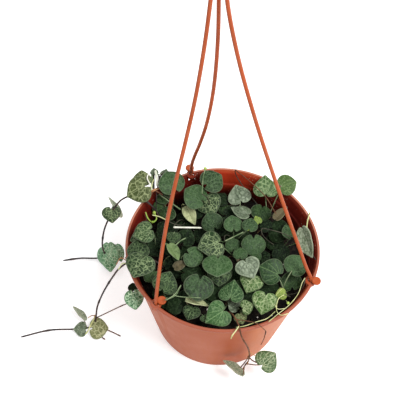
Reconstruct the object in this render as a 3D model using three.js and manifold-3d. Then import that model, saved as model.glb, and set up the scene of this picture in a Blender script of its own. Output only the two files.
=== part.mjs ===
// String of hearts in a round plastic pot with a three-arm hanger.
// Millimetres, +Z up. The origin is the centre of the pot's base, on the surface that it stands on.
import * as THREE from "three";
import { mergeVertices } from "three/addons/utils/BufferGeometryUtils.js";
import Module from "manifold-3d";

const { PI, cos, sin, abs, exp, hypot, min, sqrt } = Math;
const degrees = (angle) => (angle * PI) / 180;
const vector = (x, y, z) => new THREE.Vector3(x, y, z);

// --- Driving dimensions ---

const RIM_RADIUS = 65;
const POT_HEIGHT = 88;
const BASE_RADIUS = 46.5;
const WALL = 1.2;
const FLOOR = 2.2;
const FOOT_SLOPE = 4.5; // how high the inside slopes from the floor to the wall
const LIP_WIDTH = 1.9;
const LIP_HEIGHT = 2.4;
const EDGE = 0.7; // the small slope of the rim's outer edges
const RIM_FLAT = 1.6; // the width of the rim's flat top
const RIM_SLOPE = 2.6; // how far down the inside slopes from there to the wall
const STEP_DEPTH = 11; // the inner step under the rim
const STEP_WIDTH = 0.9;
const POT_SIDES = 40;
const HOLE_SIDES = 8;
const DRAIN_HOLES = 6;
const DRAIN_RADIUS = 4;
const DRAIN_CIRCLE = 33;

const EAR_CIRCLE = 62.8;
const EAR_RADIUS = 3.6;
const EAR_HEIGHT = 2.2;
const EAR_SIDES = 10;
const EYE_RADIUS = 1.7;
const WINDOW_WIDTH = 5.2; // of the recess in the outside of the wall under each ear, for the arm's barb
const WINDOW_REACH = 5; // from behind the arm's foot outwards
const WINDOW_FOOT = 76.5;

const CLEARANCE = 0.35; // between pieces that touch
const SOIL_TOP = 66;
const SOIL_CROWN = 1.5; // how far the soil's middle stands above its edge
const SOIL_SIDES = 28;

const ARM_RADIUS = 1.1;
const ARM_SIDES = 6;
const ARM_STEPS = 20;
const HUB_CENTRE = [-13, 18];
const HUB_BASE = 314;
const HUB_RADIUS = 6.5;
const HUB_HEIGHT = 10;
const HUB_SIDES = 20;
const HOOK_RADIUS = 1.9;
const HOOK_SIDES = 7;
const HOOK_STEPS = 18;
const TAB_RADIUS = 3;
const TAB_SIDES = 12;
const TAB_THICKNESS = 1.6;
const TAB_LIFT = 1.9; // of the tab's middle over the rim
const TAB_REACH = 3.8; // from the arm's axis to the tab's centre
const NECK_RADIUS = 0.75;
const NECK_SIDES = 5;
const BARB_FOOT = 78.5;
const BARB_THICKNESS = 1.4;

const STEM_RADIUS = 0.75;
const PETIOLE_RADIUS = 0.5;
const STEM_HOLE_RADIUS = 1.4;
const STEM_HOLE_SIDES = 5;
const STEM_IN_SOIL = 5;
const TUBER_RADIUS = 1.5; // of the small tuber that a leafy stem's stalks spring from
const BLADE_THICKNESS = 0.8;

const MERGE_REACH = 1e-3; // vertices nearer than this are one
const FLATNESS = 0.06; // triangles that differ less than this from a flat face are joined

const manifold = await Module();
manifold.setup();

// --- Solids ---

// A closed three.js geometry as a manifold-3d solid.
function solidOf(geometry) {
  const bare = geometry.clone();
  bare.deleteAttribute("normal");
  bare.deleteAttribute("uv");
  const merged = mergeVertices(bare, MERGE_REACH);
  const triVerts = new Uint32Array(merged.index.array);
  return new manifold.Manifold(
    new manifold.Mesh({ numProp: 3, vertProperties: merged.attributes.position.array, triVerts }),
  );
}

function geometryOf(solid) {
  const { vertProperties, triVerts, numProp } = solid.getMesh();
  const position = new Float32Array((vertProperties.length / numProp) * 3);
  for (let i = 0; i < position.length / 3; i += 1) {
    position.set(vertProperties.subarray(i * numProp, i * numProp + 3), i * 3);
  }
  const geometry = new THREE.BufferGeometry();
  geometry.setAttribute("position", new THREE.BufferAttribute(position, 3));
  geometry.setIndex(new THREE.BufferAttribute(triVerts, 1));
  const flat = geometry.toNonIndexed();
  flat.computeVertexNormals();
  return flat;
}

// The union of the solids, without the slivers that rounding leaves.
function joined(solids) {
  const union = solids.reduce((all, next) => all.add(next)).simplify(FLATNESS);
  const parts = solidOf(geometryOf(union)).decompose();
  return parts.reduce((best, next) => (next.volume() > best.volume() ? next : best));
}

// A cylinder that stands on z0 and reaches z1.
function upright(radius, z0, z1, x, y, sides) {
  const geometry = new THREE.CylinderGeometry(radius, radius, z1 - z0, sides);
  geometry.rotateX(PI / 2).translate(x, y, (z0 + z1) / 2);
  return solidOf(geometry);
}

function lathe(profile, sides) {
  const points = profile.map(([r, z]) => new THREE.Vector2(r, z));
  return solidOf(new THREE.LatheGeometry(points, sides).rotateX(PI / 2));
}

const smooth = (points) => new THREE.CatmullRomCurve3(points, false, "centripetal");
const STEPS_PER_POINT = 1.5;
const stepsFor = (points) => Math.round(STEPS_PER_POINT * points.length);

// A round rod of constant radius, in straight steps along a curve.
function rod(extrudePath, radius, sides, steps) {
  const section = new THREE.Shape();
  for (let i = 0; i < sides; i += 1) {
    const turn = (2 * PI * i) / sides;
    if (i === 0) section.moveTo(radius, 0);
    else section.lineTo(radius * cos(turn), radius * sin(turn));
  }
  return solidOf(new THREE.ExtrudeGeometry(section, { steps, extrudePath, bevelEnabled: false }));
}

// --- Pot and soil ---

const WALL_TOP = RIM_RADIUS - LIP_WIDTH;
const outerWall = (z) => BASE_RADIUS + ((WALL_TOP - BASE_RADIUS) * z) / POT_HEIGHT;
const STEP_Z = POT_HEIGHT - STEP_DEPTH;
const INNER_FOOT = [outerWall(FOOT_SLOPE) - WALL, FOOT_SLOPE];
const INNER_STEP = [outerWall(STEP_Z) - WALL - STEP_WIDTH, STEP_Z - STEP_WIDTH];

// The pot's inside radius under the step.
function innerWall(z) {
  const [[r0, z0], [r1, z1]] = [INNER_FOOT, INNER_STEP];
  return r0 + ((r1 - r0) * (z - z0)) / (z1 - z0);
}

function earPoint(azimuth, z) {
  return vector(EAR_CIRCLE * cos(degrees(azimuth)), EAR_CIRCLE * sin(degrees(azimuth)), z);
}

function makePot(earAzimuths) {
  const lipBase = POT_HEIGHT - LIP_HEIGHT;
  let pot = lathe(
    [
      [0, 0],
      [BASE_RADIUS - 2 * EDGE, 0],
      [outerWall(2 * EDGE), 2 * EDGE],
      [outerWall(lipBase), lipBase],
      [RIM_RADIUS - EDGE, lipBase],
      [RIM_RADIUS, lipBase + EDGE],
      [RIM_RADIUS, POT_HEIGHT - EDGE],
      [RIM_RADIUS - EDGE, POT_HEIGHT],
      [RIM_RADIUS - RIM_FLAT, POT_HEIGHT],
      [WALL_TOP - WALL, POT_HEIGHT - RIM_SLOPE],
      [outerWall(STEP_Z) - WALL, STEP_Z],
      INNER_STEP,
      INNER_FOOT,
      [INNER_FOOT[0] - (FOOT_SLOPE - FLOOR), FLOOR],
      [0, FLOOR],
    ],
    POT_SIDES,
  );
  const windowTop = POT_HEIGHT - EAR_HEIGHT;
  const windowMiddle = EAR_CIRCLE - ARM_RADIUS - CLEARANCE + WINDOW_REACH / 2;
  for (const azimuth of earAzimuths) {
    const window = new THREE.BoxGeometry(WINDOW_REACH, WINDOW_WIDTH, windowTop - WINDOW_FOOT);
    window.translate(windowMiddle, 0, (windowTop + WINDOW_FOOT) / 2).rotateZ(degrees(azimuth));
    pot = pot.subtract(solidOf(window));
  }
  for (const azimuth of earAzimuths) {
    const { x, y } = earPoint(azimuth, 0);
    pot = pot.add(upright(EAR_RADIUS, windowTop, POT_HEIGHT, x, y, EAR_SIDES));
  }
  for (const azimuth of earAzimuths) {
    const { x, y } = earPoint(azimuth, 0);
    pot = pot.subtract(upright(EYE_RADIUS, lipBase - 1, POT_HEIGHT + 1, x, y, HOLE_SIDES));
  }
  for (let i = 0; i < DRAIN_HOLES; i += 1) {
    const turn = (2 * PI * (i + 0.5)) / DRAIN_HOLES;
    const [x, y] = [DRAIN_CIRCLE * cos(turn), DRAIN_CIRCLE * sin(turn)];
    pot = pot.subtract(upright(DRAIN_RADIUS, -1, FLOOR + 1, x, y, HOLE_SIDES));
  }
  return pot;
}

// The soil's top is a low dome.
const soilHeight = (x, y) => SOIL_TOP + SOIL_CROWN * (1 - hypot(x, y) / innerWall(SOIL_TOP));

function makeSoil(roots) {
  const bottom = FLOOR + CLEARANCE;
  const edge = innerWall(SOIL_TOP) - CLEARANCE;
  let soil = lathe(
    [
      [0, bottom],
      [INNER_FOOT[0] - FOOT_SLOPE + FLOOR - CLEARANCE, bottom],
      [innerWall(FOOT_SLOPE + 1) - CLEARANCE, FOOT_SLOPE + 1],
      [edge, SOIL_TOP],
      [0, soilHeight(0, 0)],
    ],
    SOIL_SIDES,
  );
  for (const { x, y } of roots) {
    const bottomOfHole = SOIL_TOP - STEM_IN_SOIL - 1;
    soil = soil.subtract(upright(STEM_HOLE_RADIUS, bottomOfHole, POT_HEIGHT, x, y, STEM_HOLE_SIDES));
  }
  return soil;
}

// --- Hanger ---

// For each arm: where its ear is, where its finger tab points, and the two handles of its bend, by hand.
const ARMS = {
  left: { ear: 229.5, tab: 20, low: [-35, -21, 201], high: [-20, -1, 189] },
  right: { ear: 338, tab: 338, low: [43, -13, 129], high: [-16, 18, 268] },
  back: { ear: 113, tab: 113, low: [-27, 40, 139], high: [-4, 15, 174] },
};
const ARM_SOCKET_CIRCLE = 3.6;
const ARM_IN_HUB = 4;
const ARM_SHARES = [0.08, 0.16, 0.27, 0.4, 0.55, 0.7, 0.84, 0.94]; // of the bend, where the path has points
const ARM_FOOT = [79.5, 84, 90]; // the heights of the arm's straight foot, through its eye

// The barb under the eye from its side: steps outwards and up from its point.
const BARB = [[-0.9, 2.5], [0, 0], [3.4, 6], [2.5, 6.2], [0.9, 4]];

// The hook, a question mark in the plane of X and Z: steps right and up from the hub's top.
const HOOK = [
  [0, -2], [0, 5], [4, 10], [9.5, 16], [11, 23], [7, 31], [0, 34], [-7, 31], [-10.5, 24], [-9.5, 18],
];

function armTop({ ear }, z) {
  const [x, y] = HUB_CENTRE;
  const turn = degrees(ear);
  return vector(x + ARM_SOCKET_CIRCLE * cos(turn), y + ARM_SOCKET_CIRCLE * sin(turn), z);
}

function makeBarb(azimuth) {
  const outline = new THREE.Shape(BARB.map(([outwards, up]) => new THREE.Vector2(outwards, up)));
  const barb = new THREE.ExtrudeGeometry(outline, { depth: BARB_THICKNESS, bevelEnabled: false });
  barb.translate(0, 0, -BARB_THICKNESS / 2).rotateX(PI / 2).rotateZ(degrees(azimuth));
  return solidOf(barb.translate(...earPoint(azimuth, BARB_FOOT).toArray()));
}

function makeTab({ ear, tab }) {
  const foot = earPoint(ear, POT_HEIGHT + TAB_LIFT);
  const towards = vector(cos(degrees(tab)), sin(degrees(tab)), 0);
  const end = foot.clone().addScaledVector(towards, TAB_REACH);
  const neck = rod(new THREE.LineCurve3(foot, end), NECK_RADIUS, NECK_SIDES, 1);
  const [bottom, top] = [end.z - TAB_THICKNESS / 2, end.z + TAB_THICKNESS / 2];
  return [neck, upright(TAB_RADIUS, bottom, top, end.x, end.y, TAB_SIDES)];
}

function makeArm(arm) {
  const bend = new THREE.CubicBezierCurve3(
    earPoint(arm.ear, POT_HEIGHT),
    vector(...arm.low),
    vector(...arm.high),
    armTop(arm, HUB_BASE),
  );
  const path = [
    ...ARM_FOOT.map((z) => earPoint(arm.ear, z)),
    ...ARM_SHARES.map((share) => bend.getPoint(share)),
    armTop(arm, HUB_BASE),
    armTop(arm, HUB_BASE + ARM_IN_HUB - CLEARANCE),
  ];
  return joined([rod(smooth(path), ARM_RADIUS, ARM_SIDES, ARM_STEPS), ...makeTab(arm), makeBarb(arm.ear)]);
}

function makeHook() {
  const [x, y] = HUB_CENTRE;
  const top = HUB_BASE + HUB_HEIGHT;
  const socketRadius = ARM_RADIUS + CLEARANCE;
  let hub = upright(HUB_RADIUS, HUB_BASE, top, x, y, HUB_SIDES);
  for (const arm of Object.values(ARMS)) {
    const at = armTop(arm, 0);
    hub = hub.subtract(upright(socketRadius, HUB_BASE - 1, HUB_BASE + ARM_IN_HUB, at.x, at.y, HOLE_SIDES));
  }
  const path = HOOK.map(([right, up]) => vector(x + right, y, top + up));
  return hub.add(rod(smooth(path), HOOK_RADIUS, HOOK_SIDES, HOOK_STEPS));
}

// --- Leaves ---

// The blade shapes: heart goes from 0, round, to 1, heart-shaped. The rest are shares of the width.
const KINDS = {
  plain: { heart: 0.05, length: 0.94, notch: 0.2, dome: 0.05, keel: 0 },
  dark: { heart: 0.15, length: 0.96, notch: 0.2, dome: 0.05, keel: 0 },
  striped: { heart: 0.2, length: 0.98, notch: 0.2, dome: 0.05, keel: 0 },
  net: { heart: 0.35, length: 0.98, notch: 0.2, dome: 0.06, keel: 0 },
  olive: { heart: 0.25, length: 0.95, notch: 0.2, dome: 0.06, keel: 0 },
  bright: { heart: 0.5, length: 1, notch: 0.2, dome: 0.05, keel: 0 },
  mint: { heart: 0.25, length: 1.15, notch: 0.15, dome: 0.05, keel: 0 },
  veined: { heart: 0.65, length: 1.05, notch: 0.2, dome: 0.04, keel: 0 },
  grey: { heart: 0.45, length: 0.95, notch: 0.2, dome: 0.03, keel: 0 },
  lime: { heart: 0.35, length: 1.1, notch: 0.2, dome: 0.05, keel: 0 },
  cream: { heart: 0.35, length: 1.9, notch: 0.08, dome: 0, keel: 0.35 },
  brown: { heart: 0.35, length: 1.8, notch: 0.08, dome: 0, keel: 0.3 },
  silver: { heart: 0.1, length: 1.75, notch: 0.05, dome: 0.05, keel: 0 },
  folded: { heart: 0.2, length: 1.6, notch: 0.08, dome: 0, keel: 0.25 },
};
const OUTLINE_STEPS = [0, 0.13, 0.34, 0.58, 0.82, 1]; // of the half turn from notch to tip
const FACE_LIGHT = degrees(20); // every blade leans this far towards the light at -Y
const LIGHT = vector(0, -0.711, 1); // a crowded leaf climbs this way, for each mm up
const LEAF_HEIGHT = 80; // the height at which the leaves' places are stated
const TIER_BASE = [74.5, 77.5, 80, 84, 88, 93]; // the least height of a leaf of each tier
const STACK_GAP = 1.7; // between the upper faces of two stacked blades
const STICK_GAP = 1.4; // from a stalk's axis to a blade's upper face
const STALK_GAP = 1.6; // between the axes of two stems' stalks
const CLIMB = 0.5;
const MOST_CLIMBS = 80;
const POT_ROOM = 0.9;
const SOIL_ROOM = 1.6; // under a blade
const BLADE_ROOM = 0.8; // round a blade's outline

// A repeatable draw between two numbers.
function makeDraws(seed) {
  let state = seed;
  return (low, high) => {
    state = (state * 16807) % 2147483647;
    return low + ((high - low) * state) / 2147483647;
  };
}

// The half outline at angle t, from the notch at 0 to the tip at PI, in shares of the width.
function outlineAt({ heart, length, notch }, t) {
  const dent = notch * exp(-((t / 0.28) ** 2));
  const tip = 0.06 * exp(-(((PI - t) / 0.25) ** 2));
  const round = [(-0.46 * cos(t) + dent + tip) * length, 0.5 * sin(t)];
  const classic = 13 * cos(t) - 5 * cos(2 * t) - 2 * cos(3 * t) - cos(4 * t);
  const hearted = [(-classic / 32) * length, 0.5 * sin(t) ** 3];
  return [0, 1].map((i) => (1 - heart) * round[i] + heart * hearted[i]);
}

// A leaf's centre and its three directions: towards the tip, across, and out of the upper face.
function makeLeaf(kind, centre, width, heading, lean, roll) {
  const turn = degrees(heading);
  const [a, b] = [degrees(lean), degrees(roll)];
  const ahead = vector(cos(turn), sin(turn), 0);
  const side = vector(-sin(turn), cos(turn), 0);
  const up = vector(0, 0, 1);
  const along = ahead.clone().multiplyScalar(cos(a)).addScaledVector(up, -sin(a));
  const out = ahead.clone().multiplyScalar(sin(a)).addScaledVector(up, cos(a));
  const across = side.clone().multiplyScalar(cos(b)).addScaledVector(out, -sin(b));
  const normal = out.multiplyScalar(cos(b)).addScaledVector(side, sin(b));
  const faceLight = (direction) => direction.applyAxisAngle(vector(1, 0, 0), FACE_LIGHT);
  [along, across, normal].forEach(faceLight);
  return { kind: KINDS[kind], centre, width, along, across, normal };
}

// How far the upper face stands above the flat blade at u along and v across, in millimetres.
function relief({ kind, width }, u, v) {
  return (-kind.dome * 4 * (u * u + v * v)) / width + kind.keel * abs(v);
}

function pointOn(leaf, u, v, depth = 0) {
  return leaf.centre
    .clone()
    .addScaledVector(leaf.along, u)
    .addScaledVector(leaf.across, v)
    .addScaledVector(leaf.normal, relief(leaf, u, v) - depth);
}

const notchOf = (leaf, depth = 0) => pointOn(leaf, outlineAt(leaf.kind, 0)[0] * leaf.width, 0, depth);

// The whole outline, from the notch round the tip and back, in millimetres.
function outlineOf(leaf) {
  const half = OUTLINE_STEPS.map((share) => outlineAt(leaf.kind, share * PI));
  const back = half.slice(1, -1).reverse();
  const loop = [...half, ...back.map(([u, v]) => [u, -v])];
  return loop.map(([u, v]) => [u * leaf.width, v * leaf.width]);
}

function makeBlade(leaf) {
  const loop = outlineOf(leaf);
  const count = loop.length;
  const corners = [pointOn(leaf, 0, 0), pointOn(leaf, 0, 0, BLADE_THICKNESS)];
  for (const [u, v] of loop) corners.push(pointOn(leaf, u, v), pointOn(leaf, u, v, BLADE_THICKNESS));
  const faces = [];
  for (let i = 0; i < count; i += 1) {
    const [top, bottom] = [2 + 2 * i, 3 + 2 * i];
    const [nextTop, nextBottom] = [2 + 2 * ((i + 1) % count), 3 + 2 * ((i + 1) % count)];
    faces.push([0, nextTop, top], [1, bottom, nextBottom]);
    faces.push([top, nextTop, nextBottom], [top, nextBottom, bottom]);
  }
  return solidOf(new THREE.BufferGeometry().setFromPoints(corners).setIndex(faces.flat()));
}

// --- Room between leaves and stalks ---

// Where a point lies over a leaf's blade: null outside its outline, or its height over the upper face.
function heightOver(leaf, point, margin) {
  const offset = point.clone().sub(leaf.centre);
  const [u, v] = [offset.dot(leaf.along), offset.dot(leaf.across)];
  const reachU = 0.5 * leaf.width * leaf.kind.length + margin;
  const reachV = 0.5 * leaf.width + margin;
  if ((u / reachU) ** 2 + (v / reachV) ** 2 > 1) return null;
  return offset.dot(leaf.normal) - relief(leaf, u, v);
}

const SAMPLE_RINGS = [0.35, 0.7, 1];

// Points all over a leaf's upper face: its middle and three rings, with a point between each two corners.
function samplesOf(leaf) {
  const loop = outlineOf(leaf);
  const between = loop.map(([u, v], i) => {
    const [nextU, nextV] = loop[(i + 1) % loop.length];
    return [(u + nextU) / 2, (v + nextV) / 2];
  });
  const points = [pointOn(leaf, 0, 0)];
  for (const share of SAMPLE_RINGS) {
    for (const [u, v] of [...loop, ...between]) points.push(pointOn(leaf, share * u, share * v));
  }
  return points;
}

// Whether a point is in the pot's wall or lip, with room to spare.
function inPot({ x, y, z }, room) {
  const r = hypot(x, y);
  if (z > POT_HEIGHT + room + STEM_RADIUS) return false;
  const inside = z < STEP_Z ? innerWall(z) : outerWall(z) - WALL;
  const outside = z > POT_HEIGHT - LIP_HEIGHT - room ? RIM_RADIUS : outerWall(z);
  return r > inside - room && r < outside + room;
}

const inSoil = ({ x, y, z }, room) => hypot(x, y) < innerWall(SOIL_TOP) && z < soilHeight(x, y) + room;

// Whether a leaf lies clear of the pot, the soil, the trailing stems and the leaves that it has to lie over.
function liesClear(leaf, lower, stems) {
  const samples = samplesOf(leaf);
  if (samples.some((point) => inPot(point, POT_ROOM) || inSoil(point, SOIL_ROOM))) return false;
  const meetsStem = stems.some((point) => {
    const height = heightOver(leaf, point, STEM_RADIUS);
    return height !== null && abs(height + BLADE_THICKNESS / 2) < 2 * STEM_RADIUS;
  });
  if (meetsStem) return false;
  return lower.every((other) => {
    if (leaf.centre.distanceTo(other.centre) > leaf.width + other.width) return true;
    const above = samples.every((point) => {
      const height = heightOver(other, point, BLADE_ROOM);
      return height === null || height >= STACK_GAP;
    });
    return (
      above &&
      samplesOf(other).every((point) => {
        const height = heightOver(leaf, point, BLADE_ROOM);
        return height === null || height <= -STACK_GAP;
      })
    );
  });
}

// Raises a leaf towards the light until it lies clear.
function settle(leaf, lower, stems) {
  for (let i = 0; i < MOST_CLIMBS && !liesClear(leaf, lower, stems); i += 1) {
    leaf.centre.addScaledVector(LIGHT, CLIMB);
  }
}

const STALK_STEPS = 3; // straight steps of a stalk
const STEP_SAMPLES = 5; // checked points on each of them

function bendOf(handles) {
  const bend = new THREE.CubicBezierCurve3(...handles);
  bend.arcLengthDivisions = 16;
  return bend;
}

// The points along a stalk's straight steps, from just past its foot.
function pointsAlong(bend) {
  const joints = bend.getSpacedPoints(STALK_STEPS);
  const points = [];
  for (let i = 1; i <= STALK_STEPS * STEP_SAMPLES; i += 1) {
    const step = min(Math.floor(i / STEP_SAMPLES), STALK_STEPS - 1);
    points.push(joints[step].clone().lerp(joints[step + 1], i / STEP_SAMPLES - step));
  }
  return points;
}

// How many points of a stalk come too near to something that it has to pass.
function crossings(points, blades, stalks) {
  return points.filter((point) => {
    if (inPot(point, POT_ROOM) || inSoil(point, POT_ROOM)) return true;
    const hitsBlade = blades.some((leaf) => {
      const height = heightOver(leaf, point, BLADE_ROOM);
      return height !== null && height < STICK_GAP && height > -BLADE_THICKNESS - STICK_GAP;
    });
    return hitsBlade || stalks.some((other) => point.distanceTo(other) < STALK_GAP);
  }).length;
}

// The ways that a stalk can bend: how far its upper handle reaches from the leaf, how far round and how far
// below it, and how far above the foot its lower handle is.
const REACHES = [3, 6, 10, 15];
const TURNS = [0, 35, -35, 70, -70, 110, -110, 150, -150].map(degrees);
const DROPS = [2, 4, 7, 11];
const LIFTS = [1, 4, 8];

// A stalk from a foot to an end: the first of its bends that passes clear of everything, or the clearest.
function routeStalk(foot, end, back, normal, blades, stalks) {
  let best = null;
  for (const reach of REACHES) {
    for (const turn of TURNS) {
      for (const drop of DROPS) {
        for (const lift of LIFTS) {
          const sideways = back.clone().applyAxisAngle(normal, turn);
          const low = foot.clone().addScaledVector(vector(0, 0, 1), lift);
          const high = end.clone().addScaledVector(sideways, reach).addScaledVector(normal, -drop);
          const bend = bendOf([foot, low, high, end]);
          const points = pointsAlong(bend);
          const count = crossings(points, blades, stalks);
          if (best === null || count < best.count) best = { count, bend, points };
          if (count === 0) return best;
        }
      }
    }
  }
  return best;
}

// --- The plant ---

// Each leafy stem stands in the soil under its own leaves. A leaf's row is its kind, its place in plan at
// LEAF_HEIGHT, its width, the heading of its tip, its tier and, where it isn't drawn, its lean and roll.
// A runner is a bare shoot: its height, then its places in plan at LEAF_HEIGHT.
const LEAFY_STEMS = {
  leafy_stem_back_left: {
    leaves: [
      ["plain", -37, 54, 19, 120, 5],
      ["dark", -45, 33, 11, 200, 1],
      ["dark", -43, 41, 10, 300, 2],
    ],
    runners: [[90, [-46, 44], [-38, 38], [-30, 32]]],
  },
  leafy_stem_back: {
    leaves: [
      ["plain", -10, 58, 18, 40, 4],
      ["net", -11, 39, 18, 300, 2],
      ["plain", -20, 44, 19, 150, 3],
      ["dark", -3, 43, 12, 60, 1],
    ],
    runners: [[88, [-16, 46], [-16, 60], [-15, 68]]],
  },
  leafy_stem_back_grey: {
    leaves: [
      ["grey", 10, 47, 17, 110, 2],
      ["grey", 12, 34, 17, 162, 3, 0, -45],
      ["dark", 1, 34, 10, 90, 0],
    ],
  },
  leafy_stem_back_right: {
    leaves: [
      ["bright", 28, 55, 18, 95, 3],
      ["dark", 26, 34, 15, 260, 1],
      ["plain", 42, 59, 15.5, 20, 5],
      ["brown", 38, 33, 8, 50, 3, 0, 30],
    ],
    runners: [[92, [6, 69], [16, 60], [27, 48], [35, 33]]],
  },
  leafy_stem_left_back: {
    leaves: [
      ["dark", -39, 28, 12, 80, 2],
      ["cream", -24, 29, 9, 300, 2, 0, 0],
    ],
    runners: [[88, [-38, 22], [-44, 25], [-49, 26]], [88, [-34, 17], [-15, 18]]],
  },
  leafy_stem_left: {
    leaves: [
      ["net", -52, 13, 16, 200, 3],
      ["net", -56, 7, 12, 200, 2],
      ["dark", -43, 6, 13, 90, 0],
    ],
    runners: [[86, [-54, 28], [-51.5, 22.5], [-48.5, 20], [-46, 23], [-48, 28]]],
  },
  leafy_stem_left_front: {
    leaves: [
      ["net", -53, -12, 20, 250, 3],
      ["net", -55, -2, 15, 100, 2],
      ["dark", -46, -22, 13, 230, 1],
      ["olive", -35, -12, 10, 100, 0],
    ],
  },
  leafy_stem_inner_left: {
    leaves: [
      ["net", -33, 10, 10, 270, 3],
      ["dark", -25, 9, 13, 60, 1],
      ["folded", -32.5, -1, 9, 305, 3, 0, 35],
      ["dark", -16, 11, 11, 20, 0],
    ],
  },
  leafy_stem_centre_back: {
    leaves: [
      ["plain", -8, 23, 15, 120, 3],
      ["plain", 6, 23, 13, 100, 3],
      ["plain", 17, 23, 11, 80, 4],
      ["lime", 23, 27, 6.5, 120, 3],
      ["dark", 14, 13, 11, 0, 0],
    ],
    runners: [[89, [1, 9], [7, 13], [13, 17]]],
  },
  leafy_stem_centre: {
    leaves: [
      ["net", -7, 6, 20, 200, 4],
      ["plain", 7, 5, 11, 100, 2],
      ["plain", 21, 7, 17, 275, 3],
      ["plain", 12, -1, 10, 90, 3],
      ["plain", 22, -2, 10, 60, 1],
    ],
  },
  leafy_stem_centre_front: {
    leaves: [
      ["plain", -19, -5, 15, 330, 3],
      ["plain", -3, -9, 20, 270, 4, -25, 0],
      ["net", -1, -17, 17, 270, 2],
      ["brown", -28, -13, 6.5, 30, 2, 0, 0],
    ],
  },
  leafy_stem_right_centre: {
    leaves: [
      ["grey", 17, -10, 17, 300, 4],
      ["bright", 20, -22, 16, 250, 3],
      ["bright", 28, -35, 17, 260, 4],
      ["dark", 27, -4, 13, 30, 0],
    ],
  },
  leafy_stem_right: {
    leaves: [
      ["striped", 33, -13, 18, 160, 3],
      ["plain", 48, -7, 16, 60, 3],
      ["dark", 47, -21, 15, 100, 1],
      ["lime", 40, -30, 8, 200, 3],
    ],
    runners: [
      [86, [40.5, -29], [37, -32], [35.5, -38], [36, -42], [38.5, -44], [43, -42.5]],
      [90, [54.5, -16], [52.5, -20], [50, -28], [44.5, -36.5], [36.5, -44.5], [31, -50]],
    ],
  },
  leafy_stem_right_back: {
    leaves: [
      ["plain", 45, 19, 12, 120, 2, 0, -30],
      ["folded", 54, 14, 15, 290, 3, 0, -58],
      ["dark", 36, 10, 15, 200, 0],
      ["dark", 40, 1, 13, 300, 1],
      ["dark", 29, 23, 10, 150, 1],
    ],
    runners: [[90, [26, 21], [39, 18], [51, 12], [57, 6], [62, -2]], [88, [56, 21], [56.5, 28], [58.5, 36.5]]],
  },
  leafy_stem_front_left: {
    leaves: [
      ["net", -36, -27, 17, 70, 3],
      ["dark", -29, -44, 12, 200, 1],
      ["dark", -40, -36, 10, 120, 0],
    ],
    runners: [[84, [-26, -29], [-29, -36], [-35, -40]]],
  },
  leafy_stem_front: {
    leaves: [
      ["plain", -14, -27, 20, 265, 3],
      ["dark", -10, -37, 13, 200, 0],
      ["cream", -16, -40, 9.5, 350, 2, 0, 50],
      ["net", -18, -47, 12, 250, 1],
      ["net", -9, -51, 6.5, 300, 1],
    ],
  },
  leafy_stem_front_hearts: {
    leaves: [
      ["veined", 7, -31, 17, 80, 3],
      ["veined", -1, -47, 18, 215, 3],
      ["dark", 7, -20, 12, 90, 0],
      ["dark", 13, -27, 10, 0, 1],
    ],
  },
  leafy_stem_front_right: {
    leaves: [
      ["grey", 10, -41, 11, 150, 1],
      ["bright", 17, -41, 10, 20, 3],
      ["olive", 14, -50, 9, 290, 2],
    ],
  },
};

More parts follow.
